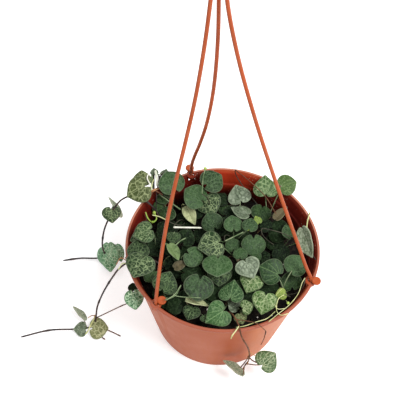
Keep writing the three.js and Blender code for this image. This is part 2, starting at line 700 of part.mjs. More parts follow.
// A trailing stem is a list of points from its root to its tip, with its leaves where it carries them.
// A leaf's row is its kind, its centre, its width, the heading of its tip, its lean and its roll.
const TRAILING_STEMS = {
  trailing_stem_left_back: {
    path: [
      [-42, 22, 63], [-42, 22, 70], [-47, 26, 85], [-55, 30, 91.5], [-63, 32, 93], [-70, 31, 90],
      [-75, 29, 84], [-79, 28, 74], [-84, 27, 58], [-87, 28, 38], [-88, 33, 20], [-88, 36, 8],
      [-93, 36.5, 2.5], [-107, 36, 1.3], [-120, 33, 1.3],
    ],
    twigs: [[[-47, 26, 85], [-47, 38, 95], [-45, 46, 100], [-42, 52, 95.5]]],
    leaves: [
      ["olive", -59, 34, 98, 19.5, 212, 5, 0],
      ["olive", -58, 44.5, 96, 13.5, 98, 0, 0],
      ["grey", -43, 50, 97, 7, 70, 0, 20],
      ["grey", -50, 49.5, 98, 6, 100, -20, 0],
      ["net", -78, 26, 79, 13.5, 280, 10, 0],
      ["folded", -76, 33, 75, 12, 123, 0, -68],
      ["silver", -84, 33.5, 12, 14, 278, 10, 0],
      ["silver", -78, 40, 8, 9, 292, 0, 0],
      ["silver", -89.5, 36, 8.5, 8.5, 275, 0, 0],
    ],
  },
  trailing_stem_left: {
    path: [
      [-38, -12, 63], [-38, -12, 70], [-45, -14, 85], [-54, -17.5, 91], [-61, -20.5, 91.5],
      [-67, -23.5, 87.5], [-71, -25, 80], [-76, -24.5, 66], [-81, -22.5, 48], [-85.5, -20.5, 28],
      [-87.5, -20.5, 12], [-89, -22, 4], [-95, -24, 2], [-103, -25, 1.4], [-121, -27, 1.3], [-141, -34, 1.3],
    ],
    twigs: [
      [[-87.5, -20.5, 12], [-78, -20.5, 22], [-68, -22, 35], [-63, -26, 47], [-62.5, -28, 60], [-62, -30, 68]],
      [[-89, -22, 4], [-78, -25, 2.5], [-69, -28.5, 1.6]],
      [[-89, -22, 4], [-84, -29, 2], [-80, -32, 1.5]],
    ],
    leaves: [
      ["olive", -86, -26, 7, 16, 5, 0, 0],
      ["grey", -98, -26.5, 5, 11.5, 184, 0, 0],
      ["folded", -99.5, -16.5, 9, 10, 136, 0, -65],
      ["mint", -56.5, -35.5, 71, 13, 282, 10, 0],
      ["dark", -58.5, -24.5, 66, 7, 96, 0, 0],
    ],
  },
  trailing_stem_front: {
    path: [
      [5, -42, 63], [5, -42, 70], [7.5, -49, 83], [10.5, -57, 90.3], [12.5, -62, 91], [14, -66.5, 88.5],
      [16, -67.5, 83], [18.5, -66, 74], [21, -61, 57], [22.5, -57.5, 43], [23, -56.5, 37],
    ],
    twigs: [
      [[12.5, -62, 91], [10.5, -65.5, 91], [8.5, -68, 89], [8, -68.5, 86]],
      [
        [10.5, -57, 90.3], [23, -60, 92.5], [27.5, -62.5, 91], [29.5, -61.5, 86], [31, -55, 70],
        [31.4, -48.5, 53],
      ],
      [[22.5, -57, 42], [22.4, -58.2, 36], [20.8, -58.6, 30.4], [19, -60.5, 26]],
    ],
    leaves: [
      ["net", 35, -55, 30, 17, 45, 0, 0],
      ["folded", 14, -58.5, 22, 12.5, 146, 0, -58],
    ],
  },
};

const SEED = 23;
const draw = makeDraws(SEED);
const DRAWN_LEAN = [-12, 10];
const DRAWN_ROLL = [-12, 12];

const points3 = (rows) => rows.map((row) => vector(...row));
const slideTo = (x, y, z) => vector(x, y, LEAF_HEIGHT).addScaledVector(LIGHT, z - LEAF_HEIGHT);

function makeTrailingStem([name, { path, twigs, leaves }]) {
  const blades = leaves.map(([kind, x, y, z, width, heading, lean, roll]) =>
    makeLeaf(kind, vector(x, y, z), width, heading, lean, roll),
  );
  const bare = [path, ...twigs].map(points3);
  return { name, root: vector(...path[0]), trailing: true, blades, bare, bends: [] };
}

// Each place in plan at LEAF_HEIGHT that no listed leaf covers gets a low dark leaf. The places are tried in
// a spiral like a sunflower's, over the part of the soil that shows.
const UNDERGROWTH_TRIES = 60;
const UNDERGROWTH_CENTRE = [0, -6];
const UNDERGROWTH_REACH = 49;
const UNDERGROWTH_WIDTH = [14, 18];
const UNDERGROWTH_SHIFT = [-1.5, 1.5];
const COVERED_SHARE = 0.42; // of a leaf's width, round its middle
const UNDERGROWTH_FRONT = -50; // none nearer to the front rim, where bare soil shows
const GOLDEN_TURN = 2.4;

const middleOf = (rows) => [1, 2].map((i) => rows.reduce((sum, row) => sum + row[i], 0) / rows.length);

function addUndergrowth(beds) {
  const covers = (row, x, y) => hypot(row[1] - x, row[2] - y) < COVERED_SHARE * row[3];
  for (let i = 0; i < UNDERGROWTH_TRIES; i += 1) {
    const r = UNDERGROWTH_REACH * sqrt((i + 0.5) / UNDERGROWTH_TRIES);
    const x = UNDERGROWTH_CENTRE[0] + r * cos(GOLDEN_TURN * i) + draw(...UNDERGROWTH_SHIFT);
    const y = UNDERGROWTH_CENTRE[1] + r * sin(GOLDEN_TURN * i) + draw(...UNDERGROWTH_SHIFT);
    const [width, heading] = [draw(...UNDERGROWTH_WIDTH), draw(0, 360)];
    if (y < UNDERGROWTH_FRONT || beds.some(({ rows }) => rows.some((row) => covers(row, x, y)))) continue;
    const far = ({ middle }) => hypot(middle[0] - x, middle[1] - y);
    const nearest = beds.reduce((best, bed) => (far(bed) < far(best) ? bed : best));
    nearest.rows.push(["dark", x, y, width, heading, 0]);
  }
}

function makeLeafyStem({ name, runners, rows }) {
  const blades = rows.map(([kind, x, y, width, heading, tier, lean, roll]) => {
    const [drawnLean, drawnRoll] = [draw(...DRAWN_LEAN), draw(...DRAWN_ROLL)];
    const centre = slideTo(x, y, TIER_BASE[tier]);
    return { tier, ...makeLeaf(kind, centre, width, heading, lean ?? drawnLean, roll ?? drawnRoll) };
  });
  const bare = runners.map(([height, ...places]) => places.map(([x, y]) => slideTo(x, y, height)));
  return { name, trailing: false, blades, bare, bends: [] };
}

const beds = Object.entries(LEAFY_STEMS).map(([name, { leaves, runners = [] }]) => {
  return { name, runners, middle: middleOf(leaves), rows: [...leaves] };
});
addUndergrowth(beds);
const trailingStems = Object.entries(TRAILING_STEMS).map(makeTrailingStem);
const leafyStems = beds.map(makeLeafyStem);
const plant = [...trailingStems, ...leafyStems];

// The leaves settle from the lowest tier up.
const SAMPLES_PER_POINT = 6;
const samplesAlong = (points) => smooth(points).getSpacedPoints(SAMPLES_PER_POINT * points.length);
const trails = trailingStems.flatMap(({ bare }) => bare.flatMap(samplesAlong));
const settled = trailingStems.flatMap(({ blades }) => blades);
const loose = leafyStems.flatMap(({ blades }) => blades);
for (const tier of TIER_BASE.keys()) {
  for (const leaf of loose.filter((one) => one.tier === tier)) {
    settle(leaf, settled, trails);
    settled.push(leaf);
  }
}

// A runner lies over the leaves: it climbs until every point of it is clear.
const RUNNER_SAMPLES = 4; // for each of its points
const RUNNER_ROOM = 1.1;

function liftRunner(points) {
  const samples = smooth(points).getSpacedPoints(RUNNER_SAMPLES * points.length);
  const meetsLeaf = (point) =>
    settled.some((leaf) => {
      const height = heightOver(leaf, point, BLADE_ROOM);
      return height !== null && height < STICK_GAP && height > -3 * STICK_GAP;
    });
  const blocked = () => samples.some((point) => inPot(point, RUNNER_ROOM) || meetsLeaf(point));
  for (let i = 0; i < MOST_CLIMBS && blocked(); i += 1) {
    for (const point of [...points, ...samples]) point.addScaledVector(LIGHT, CLIMB);
  }
  return samples;
}

// A stem's foot in the soil and its crown, the middle of its tuber.
function stemEnds({ x, y }) {
  const ground = soilHeight(x, y);
  return [vector(x, y, ground - STEM_IN_SOIL), vector(x, y, ground + TUBER_RADIUS + CLEARANCE)];
}

// A leafy stem stands under the middle of its leaves' notches, clear of the other stems and of every blade.
const ROOT_SPACING = 5;
const ROOT_REACH = 50;
const ROOT_TRIES = 60;
const ROOT_STEP = 1.5;
const STEM_CHECKS = [0.3, 0.6, 1]; // shares of the way up the stem

function findRoot(blades, roots) {
  const middle = vector(0, 0, 0);
  for (const leaf of blades) middle.addScaledVector(notchOf(leaf), 1 / blades.length);
  middle.setZ(0).clampLength(0, ROOT_REACH);
  for (let i = 0; i < ROOT_TRIES; i += 1) {
    const turn = GOLDEN_TURN * i;
    const root = vector(cos(turn), sin(turn), 0).multiplyScalar(ROOT_STEP * sqrt(i)).add(middle);
    const [foot, crown] = stemEnds(root);
    const free = roots.every((other) => hypot(root.x - other.x, root.y - other.y) > ROOT_SPACING);
    const open = STEM_CHECKS.every((share) =>
      settled.every((leaf) => {
        const height = heightOver(leaf, foot.clone().lerp(crown, share), BLADE_ROOM);
        return height === null || abs(height) > STICK_GAP + BLADE_ROOM;
      }),
    );
    if (free && open && root.length() < ROOT_REACH + 1) return root;
  }
  throw new Error("no room for a stem");
}

const roots = trailingStems.map((stem) => stem.root);
const sticks = new Map(); // the points along each stem's bare shoots, its foot and, later, its stalks
for (const stem of trailingStems) sticks.set(stem, stem.bare.flatMap(samplesAlong));
for (const stem of leafyStems) {
  const runners = stem.bare.flatMap(liftRunner);
  stem.root = findRoot(stem.blades, roots);
  roots.push(stem.root);
  sticks.set(stem, [...runners, ...stemEnds(stem.root)]);
}

// The point of a trailing stem that a leaf's stalk springs from.
function nearestJoint({ bare }, notch) {
  const joints = bare.flatMap((points) => smooth(points).getSpacedPoints(stepsFor(points)).slice(1, -1));
  return joints.reduce((best, joint) => (joint.distanceTo(notch) < best.distanceTo(notch) ? joint : best));
}

// Each stalk of a leafy stem springs from its own side of the tuber.
function footTowards({ root }, end) {
  const crown = stemEnds(root)[1];
  const aside = end.clone().sub(crown).setZ(0).setLength(TUBER_RADIUS / 2);
  return crown.add(aside);
}

const HOLD_SHARE = 0.07; // a stalk holds its blade this share of the width past the notch
const HOLD_DEPTH = 0.55; // and this far under the upper face
const holdOf = (leaf) => pointOn(leaf, (outlineAt(leaf.kind, 0)[0] + HOLD_SHARE) * leaf.width, 0, HOLD_DEPTH);

function growStalks(stem) {
  const footFor = stem.trailing ? nearestJoint : footTowards;
  const stalks = plant.flatMap((other) => (other === stem ? [] : sticks.get(other)));
  const grown = stem.blades.map((leaf) => {
    const blades = settled.filter((other) => other !== leaf);
    const foot = footFor(stem, notchOf(leaf, BLADE_THICKNESS / 2));
    return routeStalk(foot, holdOf(leaf), leaf.along.clone().negate(), leaf.normal, blades, stalks);
  });
  if (!stem.trailing) {
    for (const [first, second] of stem.bare) {
      const back = first.clone().sub(second).normalize();
      grown.push(routeStalk(footTowards(stem, first), first, back, vector(0, 0, 1), settled, stalks));
    }
  }
  for (const { bend, points } of grown) {
    stem.bends.push(bend);
    sticks.get(stem).push(...points);
  }
}

plant.forEach(growStalks);

// --- The stems' solids ---

const STALK_SIDES = 3;
const STEM_SIDES = 4;
const stalk = (curve, steps) => rod(curve, PETIOLE_RADIUS, STALK_SIDES, steps);
const stemRod = (curve, steps) => rod(curve, STEM_RADIUS, STEM_SIDES, steps);

function makeStem({ trailing, blades, bends, bare, root }) {
  const solids = [...blades.map(makeBlade), ...bends.map((bend) => stalk(bend, STALK_STEPS))];
  bare.forEach((points, i) => {
    const make = trailing && i === 0 ? stemRod : stalk;
    solids.push(make(smooth(points), stepsFor(points)));
  });
  if (!trailing) {
    const [foot, crown] = stemEnds(root);
    solids.push(stemRod(new THREE.LineCurve3(foot, crown), 1));
    solids.push(solidOf(new THREE.IcosahedronGeometry(TUBER_RADIUS).translate(...crown.toArray())));
  }
  return joined(solids);
}

// --- The object ---

const TERRACOTTA = { color: 0xb85c42, roughness: 0.5, metalness: 0 };
const SOIL = { color: 0x1d1814, roughness: 0.95, metalness: 0 };
const LEAF = { color: 0x4a7350, roughness: 0.5, metalness: 0 };
const TRAILING_LEAF = { color: 0x6b8a72, roughness: 0.5, metalness: 0 };

const object = new THREE.Group();

function place(name, solid, finish) {
  const mesh = new THREE.Mesh(geometryOf(solid), new THREE.MeshStandardMaterial(finish));
  mesh.name = name;
  object.add(mesh);
}

place("pot", makePot(Object.values(ARMS).map((arm) => arm.ear)), TERRACOTTA);
place("soil", makeSoil(roots), SOIL);
place("hanger_hook", makeHook(), TERRACOTTA);
for (const [side, arm] of Object.entries(ARMS)) place(`hanger_arm_${side}`, makeArm(arm), TERRACOTTA);
for (const stem of plant) place(stem.name, makeStem(stem), stem.trailing ? TRAILING_LEAF : LEAF);

export default object;
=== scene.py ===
# %% [markdown]
# # A string of hearts in its hanging pot
#
# String of hearts is a trailing plant. Thin, wiry stems rise from small tubers in the soil, and
# pairs of fleshy heart-shaped leaves sit along them. This one grows in a round plastic pot that
# hangs from three plastic arms under a hook. Two stems hang over the rim and lie on the table, and
# one hangs down the wall.
#
# The solid frame is ready: it says where each piece is. This lesson makes what the eye wants to
# see, which is smooth round plastic, crumbly soil, and leaves with veins and silver nets. It starts
# with the frame.

# %% Load the frame
from math import cos, hypot, pi, radians, sin, sqrt

import bmesh
import bpy
import numpy as np
from mathutils import Matrix, Vector


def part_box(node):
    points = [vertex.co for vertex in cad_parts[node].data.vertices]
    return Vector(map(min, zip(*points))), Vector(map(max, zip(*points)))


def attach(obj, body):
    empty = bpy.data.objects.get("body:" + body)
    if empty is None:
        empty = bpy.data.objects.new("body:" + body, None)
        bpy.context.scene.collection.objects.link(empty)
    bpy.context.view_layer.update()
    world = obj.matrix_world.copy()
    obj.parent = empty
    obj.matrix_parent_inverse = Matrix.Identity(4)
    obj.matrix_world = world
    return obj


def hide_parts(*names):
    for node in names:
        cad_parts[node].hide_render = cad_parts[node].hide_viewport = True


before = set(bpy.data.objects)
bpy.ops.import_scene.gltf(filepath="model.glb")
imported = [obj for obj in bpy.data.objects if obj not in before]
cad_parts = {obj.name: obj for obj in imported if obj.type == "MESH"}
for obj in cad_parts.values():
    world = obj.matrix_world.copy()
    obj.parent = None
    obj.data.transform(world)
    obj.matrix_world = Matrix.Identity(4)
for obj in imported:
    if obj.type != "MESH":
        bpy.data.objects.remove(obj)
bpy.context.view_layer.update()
MM = 0.001  # lengths below are in millimetres, and Blender's are in metres
print("frame:", len(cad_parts), "nodes")

# %% [markdown]
# ## Camera, table and light
#
# The camera looks down on the pot from the front, a little tilted. It stands back and uses a long
# lens, so that the round rim stays a plain ellipse. Working out its directions by hand keeps every
# angle a named value.

# %% Camera
CAMERA_TARGET = np.array([-11.43, 0, 128.9])
CAMERA_DISTANCE = 567.6
CAMERA_HEIGHT_ANGLE = radians(54.57)
CAMERA_TILT = radians(3.546)
CAMERA_LENS = 77.88  # millimetres, as is the sensor's width
SENSOR_WIDTH = 36
NEAREST = 0.01  # metres: what lies nearer to the camera isn't drawn

back = np.array([0, -cos(CAMERA_HEIGHT_ANGLE), sin(CAMERA_HEIGHT_ANGLE)])
level = np.array([1, 0, 0])
rising = np.array([0, sin(CAMERA_HEIGHT_ANGLE), cos(CAMERA_HEIGHT_ANGLE)])
right = cos(CAMERA_TILT) * level + sin(CAMERA_TILT) * rising
up = cos(CAMERA_TILT) * rising - sin(CAMERA_TILT) * level
camera = bpy.data.objects.new("camera", bpy.data.cameras.new("camera"))
bpy.context.scene.collection.objects.link(camera)
camera.matrix_world = Matrix.Translation(MM * (CAMERA_TARGET + CAMERA_DISTANCE * back)) @ Matrix(
    np.array([right, up, back]).T
).to_4x4()
camera.data.lens = CAMERA_LENS
camera.data.sensor_width = SENSOR_WIDTH
camera.data.clip_start = NEAREST
bpy.context.scene.camera = camera
print("camera at", [round(x, 3) for x in camera.location])

# %% [markdown]
# The table is a plain white plane. Soft light from a white sky fills the scene. One wide lamp gives
# the leaves their sheen and the pot its faint shadow, and a weak one lights the back. The
# "Standard" view keeps white paper white.

# %% Table and light
FLOOR_SIZE = 6  # metres
SKY = (1, 1, 1, 1)
SKY_STRENGTH = 0.66
LIT_POINT = Vector((0, 0, 0.06))  # metres
LAMPS = {  # place and width in metres, and watts
    "key_lamp": ((0.45, -0.35, 1.1), 0.5, 14),
    "back_lamp": ((-0.7, 0.9, 1.2), 0.8, 4),
}

bpy.ops.mesh.primitive_plane_add(size=FLOOR_SIZE)
table = bpy.context.object
table.name = "table"

world = bpy.data.worlds.new("sky")
bpy.context.scene.world = world
world.use_nodes = True
world.node_tree.nodes["Background"].inputs["Color"].default_value = SKY
world.node_tree.nodes["Background"].inputs["Strength"].default_value = SKY_STRENGTH
for name, (place, width, watts) in LAMPS.items():
    data = bpy.data.lights.new(name, "AREA")
    data.shape = "DISK"
    data.size = width
    data.energy = watts
    lamp = bpy.data.objects.new(name, data)
    lamp.location = place
    lamp.rotation_euler = (LIT_POINT - Vector(place)).to_track_quat("-Z", "Y").to_euler()
    bpy.context.scene.collection.objects.link(lamp)
bpy.context.scene.view_settings.view_transform = "Standard"
print("lamps:", list(LAMPS))

# %% [markdown]
# ## Materials as arithmetic
#
# A material is a net of nodes, and nets are hard to read as code. So a wire between two nodes
# becomes a small Python object that can be added and multiplied: `1 - mask` makes the Math node by
# itself. Colours are mixed, never multiplied as numbers, because a Math node would turn them grey.


# %% A wire that does sums
class Wire:
    """What comes out of a node. A sum of wires and numbers adds its Math nodes."""

    def __init__(self, finish, socket):
        self.finish = finish
        self.socket = socket

    def maths(self, operation, *values):
        """A new Math node's result."""
        return self.finish.node("Math", {"operation": operation}, dict(enumerate(values)))

    def __add__(self, other):
        return self.maths("ADD", self, other)

    def __radd__(self, other):
        return self.maths("ADD", other, self)

    def __sub__(self, other):
        return self.maths("SUBTRACT", self, other)

    def __rsub__(self, other):
        return self.maths("SUBTRACT", other, self)

    def __mul__(self, other):
        return self.maths("MULTIPLY", self, other)

    def __rmul__(self, other):
        return self.maths("MULTIPLY", other, self)

    def __abs__(self):
        return self.maths("ABSOLUTE", self)


# %% A material in the making
class Finish:
    """A material whose nodes are added one by one, each by a method."""

    def __init__(self, name, **fixed):
        self.material = bpy.data.materials.new(name)
        self.material.use_nodes = True
        self.tree = self.material.node_tree
        self.shader = self.tree.nodes["Principled BSDF"]
        for key, value in fixed.items():
            self.socket(key).default_value = value

    def socket(self, key):
        """The shader's socket by its name in small letters."""
        return self.shader.inputs[key.replace("_", " ").title().replace("Ior", "IOR")]

    def node(self, kind, settings, inputs, output=0):
        """A new node of a kind: its settings first, then its inputs, by name or number."""
        made = self.tree.nodes.new("ShaderNode" + kind)
        for key, value in settings.items():
            setattr(made, key, value)
        for key, value in inputs.items():
            if isinstance(value, Wire):
                self.tree.links.new(value.socket, made.inputs[key])
            else:
                made.inputs[key].default_value = value
        return Wire(self, made.outputs[output])

    def set(self, **wires):
        """Wires up the shader's own sockets."""
        for key, wire in wires.items():
            self.tree.links.new(wire.socket, self.socket(key))

    def part(self, vector, axis):
        """One of the three numbers of a vector."""
        return self.node("SeparateXYZ", {}, {0: vector}, "XYZ".index(axis))

    def blend(self, share, first, second):
        """The first colour where the share is 0 and the second where it is 1."""
        return self.node("Mix", {"data_type": "RGBA"}, {0: share, 6: first, 7: second}, 2)

    def slope(self, value, low, high):
        """0 below low, 1 above high and a smooth slope between. With low above high it falls."""
        settings = {"interpolation_type": "SMOOTHSTEP"}
        if low < high:
            return self.node("MapRange", settings, {0: value, 1: low, 2: high})
        return 1 - self.node("MapRange", settings, {0: value, 1: high, 2: low})

    def noise(self, vector, scale, detail=2.0):
        """Soft random clouds from 0 to 1."""
        return self.node("TexNoise", {}, {"Vector": vector, "Scale": scale, "Detail": detail})

    def stretch(self, vector, scale):
        """A vector whose three numbers are each multiplied."""
        return self.node("VectorMath", {"operation": "MULTIPLY"}, {0: vector, 1: scale})

    def bump(self, height, strength, distance):
        """Lights the surface as if it had a relief as high as the distance, in metres."""
        inputs = {"Height": height, "Strength": strength, "Distance": distance}
        self.set(Normal=self.node("Bump", {}, inputs))

    def place(self):
        """Where a point is in the frame, in metres."""
        return self.node("TexCoord", {}, {}, 3)


# %% Colours and the table's finish
def paint(code):
    """A colour from its web code, as the light that a shader counts in."""
    channels = [int(code[i : i + 2], 16) / 255 for i in (1, 3, 5)]
    return [c / 12.92 if c <= 0.04045 else ((c + 0.055) / 1.055) ** 2.4 for c in channels] + [1]


white_table = Finish(
    "white_table", base_color=(0.74, 0.74, 0.74, 1), roughness=0.9, specular_ior_level=0.1,
    emission_color=(1, 1, 1, 1), emission_strength=0.5,
)
table.data.materials.append(white_table.material)
print("the table is", white_table.material.name)

# %% [markdown]
# ## Curves and tubes
#
# Stems, stalks and the hanger's arms are all round rods along a curve. Blender has curve objects
# for that, but here hundreds of rods join into a few pieces, so a small function makes the rod's
# mesh by itself. The curves are centripetal Catmull-Rom splines, which pass through all their
# points without overshooting.


# %% Curves
LENGTH_DIVISIONS = 200  # for measuring how long a spline is


def spline(points, samples):
    """Evenly spaced points along a smooth curve through the given ones, both ends included."""
    points = np.asarray(points, float)
    before = 2 * points[0] - points[1]
    after = 2 * points[-1] - points[-2]
    knots = np.vstack([before, points, after])
    gaps = np.linalg.norm(np.diff(knots, axis=0), axis=1) ** 0.5
    steps = len(points) - 1

    def at(share):
        i = np.minimum((share * steps).astype(int), steps - 1)
        w = (share * steps - i)[:, None]
        p0, p1, p2, p3 = (knots[i + k] for k in range(4))
        d0, d1, d2 = (gaps[i + k][:, None] for k in range(3))
        t1 = d1 * ((p1 - p0) / d0 - (p2 - p0) / (d0 + d1) + (p2 - p1) / d1)
        t2 = d1 * ((p2 - p1) / d1 - (p3 - p1) / (d1 + d2) + (p3 - p2) / d2)
        return p1 + w * (t1 + w * (3 * (p2 - p1) - 2 * t1 - t2 + w * (2 * (p1 - p2) + t1 + t2)))

    return evenly(at, LENGTH_DIVISIONS, samples)


def evenly(at, divisions, samples):
    """Points at equal distances along a curve, whose length is measured in that many divisions."""
    grid = np.linspace(0, 1, divisions + 1)
    walked = np.concatenate([[0], np.cumsum(np.linalg.norm(np.diff(at(grid), axis=0), axis=1))])
    return at(np.interp(np.linspace(0, walked[-1], samples + 1), walked, grid))


def bezier(handles, share):
    """Points of the cubic curve with four handles, at shares of its way."""
    t = np.asarray(share)[..., None]
    a, b, c, d = handles
    return (1 - t) ** 3 * a + 3 * (1 - t) ** 2 * t * b + 3 * (1 - t) * t**2 * c + t**3 * d


def around(axis, angle):
    """The matrix that turns a point by an angle about an axis."""
    return np.array(Matrix.Rotation(angle, 3, Vector(axis)))


# %% [markdown]
# Many small shapes go into one piece, so a heap collects their corners and faces. Each corner also
# keeps where it is on its own leaf. The materials read that, so veins start at every leaf's own
# notch.


# %% Heaps of shapes
class Heap:
    """The corners and faces of one piece, gathered from many shapes. Corners are in millimetres."""

    def __init__(self):
        self.corners, self.faces, self.slots, self.finishes = [], [], [], []
        self.places, self.rims = [], []
        self.count = 0

    def cover(self, faces, finish, start):
        """Adds faces, whose corners are counted from start, with a finish."""
        if finish not in self.finishes:
            self.finishes.append(finish)
        self.faces += [tuple(start + i for i in face) for face in faces]
        self.slots += [self.finishes.index(finish)] * len(faces)

    def add(self, corners, faces, finish, places=None, rims=None):
        """Adds a shape, and gives the number of its first corner."""
        start, size = self.count, len(corners)
        self.cover(faces, finish, start)
        self.corners.append(np.asarray(corners, float))
        self.places.append(np.zeros((size, 3)) if places is None else places)
        self.rims.append(np.zeros(size) if rims is None else rims)
        self.count += size
        return start

    def piece(self, name):
        """A Blender object of all that was added."""
        mesh = bpy.data.meshes.new(name)
        mesh.from_pydata((MM * np.vstack(self.corners)).tolist(), [], self.faces)
        mesh.polygons.foreach_set("material_index", self.slots)
        mesh.shade_smooth()
        place = mesh.attributes.new("leaf_place", "FLOAT_VECTOR", "POINT")
        place.data.foreach_set("vector", np.vstack(self.places).astype(np.float32).ravel())
        rim = mesh.attributes.new("leaf_rim", "FLOAT", "POINT")
        rim.data.foreach_set("value", np.concatenate(self.rims).astype(np.float32))
        for finish in self.finishes:
            mesh.materials.append(finish.material)
        made = bpy.data.objects.new(name, mesh)
        bpy.context.scene.collection.objects.link(made)
        return made


# %% Rings, tubes and turned shapes
SEAM_SIDE = (0.3, 0.2, 0.93)  # a tube's first ring starts square to this direction


def wrap(rings, sides):
    """The faces of a closed stack of rings that has a single corner at each end."""
    last = 1 + rings * sides
    faces = []
    for i in range(sides):
        j = (i + 1) % sides
        faces.append((0, 1 + j, 1 + i))
        for k in range(rings - 1):
            a, b = 1 + k * sides, 1 + (k + 1) * sides
            faces.append((a + i, a + j, b + j, b + i))
        faces.append((last, last - sides + i, last - sides + j))
    return faces


def ring(radius, z, sides):
    """The corners of a level ring about the upright axis."""
    turns = np.arange(sides) * 2 * pi / sides
    return np.stack([radius * np.cos(turns), radius * np.sin(turns), np.full(sides, z)], 1)


def tube(path, radii, sides, ends=1.0):
    """The corners and faces of a closed round rod. Its ends narrow to a share of the radius."""
    path = np.asarray(path, float)
    radii = np.broadcast_to(radii, len(path)).astype(float).copy()
    radii[[0, -1]] *= ends
    ahead = np.gradient(path, axis=0)
    ahead /= np.linalg.norm(ahead, axis=1)[:, None]
    side = np.cross(ahead[0], SEAM_SIDE)
    turns = np.arange(sides) * 2 * pi / sides
    rings = []
    for point, forward, radius in zip(path, ahead, radii):
        side = side - (side @ forward) * forward
        side /= np.linalg.norm(side)
        third = np.cross(forward, side)
        circle = np.outer(np.cos(turns), side) + np.outer(np.sin(turns), third)
        rings.append(point + radius * circle)
    return np.vstack([path[:1], *rings, path[-1:]]), wrap(len(path), sides)


def turned(profile, sides):
    """A closed solid of revolution, whose profile starts and ends on the axis."""
    rings = [ring(r, z, sides) for r, z in profile[1:-1]]
    corners = np.vstack([[[0, 0, profile[0][1]]], *rings, [[0, 0, profile[-1][1]]]])
    return corners, wrap(len(rings), sides)


# %% [markdown]
# ## The pot
#
# The pot is moulded plastic: a thin cone with a thicker rolled rim, a small step inside, three ears
# with eyes for the arms, and holes in its floor. Turned profiles give smooth round walls at any
# size, and a Boolean cuts the eyes, the wall windows and the drain holes, as pins in the mould
# would.

# %% Pot sizes
RIM_RADIUS = 65
POT_HEIGHT = 88
BASE_RADIUS = 46.5
WALL = 1.2
FLOOR = 2.2
FOOT_SLOPE = 4.5
FOOT_RECESS = 0.9  # the underside stands this far over the table, inside a foot ring
FOOT_RING = 8
FOOT_TUCK = 0.4
LIP_WIDTH = 1.9
LIP_HEIGHT = 2.4
EDGE = 0.7
RIM_FLAT = 1.6
RIM_SLOPE = 2.6
STEP_DEPTH = 11
STEP_WIDTH = 0.9
EAR_CIRCLE = 62.8
EAR_RADIUS = 3.6
EAR_HEIGHT = 2.2
EAR_BEVEL = 0.35
EYE_RADIUS = 1.7
WINDOW_WIDTH = 5.2
WINDOW_REACH = 5
WINDOW_FOOT = 76.5
ARM_RADIUS = 1.1
DRAIN_HOLES = 6
DRAIN_RADIUS = 4
DRAIN_CIRCLE = 33
CLEARANCE = 0.35
SOIL_TOP = 66
SOIL_CROWN = 1.5
WALL_TOP = RIM_RADIUS - LIP_WIDTH
STEP_Z = POT_HEIGHT - STEP_DEPTH
LIP_BASE = POT_HEIGHT - LIP_HEIGHT


def outer_wall(z):
    """The pot's outside radius at a height."""
    return BASE_RADIUS + (WALL_TOP - BASE_RADIUS) * z / POT_HEIGHT


INNER_FOOT = (outer_wall(FOOT_SLOPE) - WALL, FOOT_SLOPE)
INNER_STEP = (outer_wall(STEP_Z) - WALL - STEP_WIDTH, STEP_Z - STEP_WIDTH)


def inner_wall(z):
    """The pot's inside radius below the step."""
    (r0, z0), (r1, z1) = INNER_FOOT, INNER_STEP
    return r0 + (r1 - r0) * (z - z0) / (z1 - z0)


def soil_height(x, y):
    """The soil's top is a low dome."""
    return SOIL_TOP + SOIL_CROWN * (1 - np.hypot(x, y) / inner_wall(SOIL_TOP))


print("soil edge radius:", round(inner_wall(SOIL_TOP), 1))

# %% [markdown]
# Terracotta-coloured plastic isn't one flat red. It is a little see-through, so the thin wall looks
# warmer where light comes through; inside the pot that light, and the shade lower down, are painted
# into the colour. Handling leaves dull patches and fine scratches. The outside of the wall has
# streaks that are partly dust and partly a painted sheen, and its right side is painted paler as
# painted light. The rim's flat top is painted pale pink, partly dust and partly a painted
# reflection of the white sky, most of all at the back. Noise at two sizes drives the colour, the
# gloss and a very low bump.

# %% Plastic
CLOUDS = 26.0  # a noise's scale is how many of its waves go into a metre
GRAIN = 900.0
STREAKS = (420, 420, 24)
SCRATCH_DEPTH = 0.0004  # metres


def make_plastic(name, codes, dust_and_sheen_amount, gloss, side=None):
    """Clouds of two reds under streaks. Dust and a painted sheen both make the streaks paler. The
    codes are those of the two reds and of the streaks.

    side is an axis, where along it another colour starts and is full, and that colour's code.
    """
    finish = Finish(name, specular_ior_level=gloss)
    fresh, deep, dust_and_sheen_colour = [paint(code) for code in codes]
    place = finish.place()
    clouds = finish.noise(place, CLOUDS, 3.0)
    grain = finish.noise(place, GRAIN, 2.0)
    streaks = finish.noise(finish.stretch(place, STREAKS), 1.0, 3.0)
    colour = finish.blend(finish.slope(clouds, 0.35, 0.7), fresh, deep)
    # Streaks, partly dust and partly a painted sheen
    dust_and_sheen = finish.slope(streaks + 0.6 * clouds, 0.62, 1.15) * dust_and_sheen_amount
    colour = finish.blend(dust_and_sheen, colour, dust_and_sheen_colour)
    # A side colour, where one is given, is painted: painted light on the pot's right side, and a
    # painted reflection on the rim's top
    if side:
        axis, start, full, other = side
        share = finish.slope(finish.part(place, axis), start, full)
        colour = finish.blend(share, colour, paint(other))
    finish.set(base_color=colour, roughness=0.34 + 0.2 * clouds + 0.25 * dust_and_sheen)
    finish.bump(grain + 0.6 * streaks, 0.12, SCRATCH_DEPTH)
    return finish


# %% The inside of the pot
PLASTIC = paint("#aa5230")
# the maroon of the painted shade inside the pot
PAINTED_SHADE_MAROON = paint("#360c08")
LIMESCALE = paint("#b9a594")
INSIDE_CLOUDS = 60.0
LIT_WALL = (0.07, 0.086)  # metres, as the next ones: where light starts to show, and is full
LIT_EDGE = (0.0855, 0.087)
LIT_BACK = (0.0, 0.05)
LIT_BACK_MIDDLE = 0.008
LIT_BACK_HALF = (0.022, 0.013)
LIT_FRONT = (-0.01, -0.035)


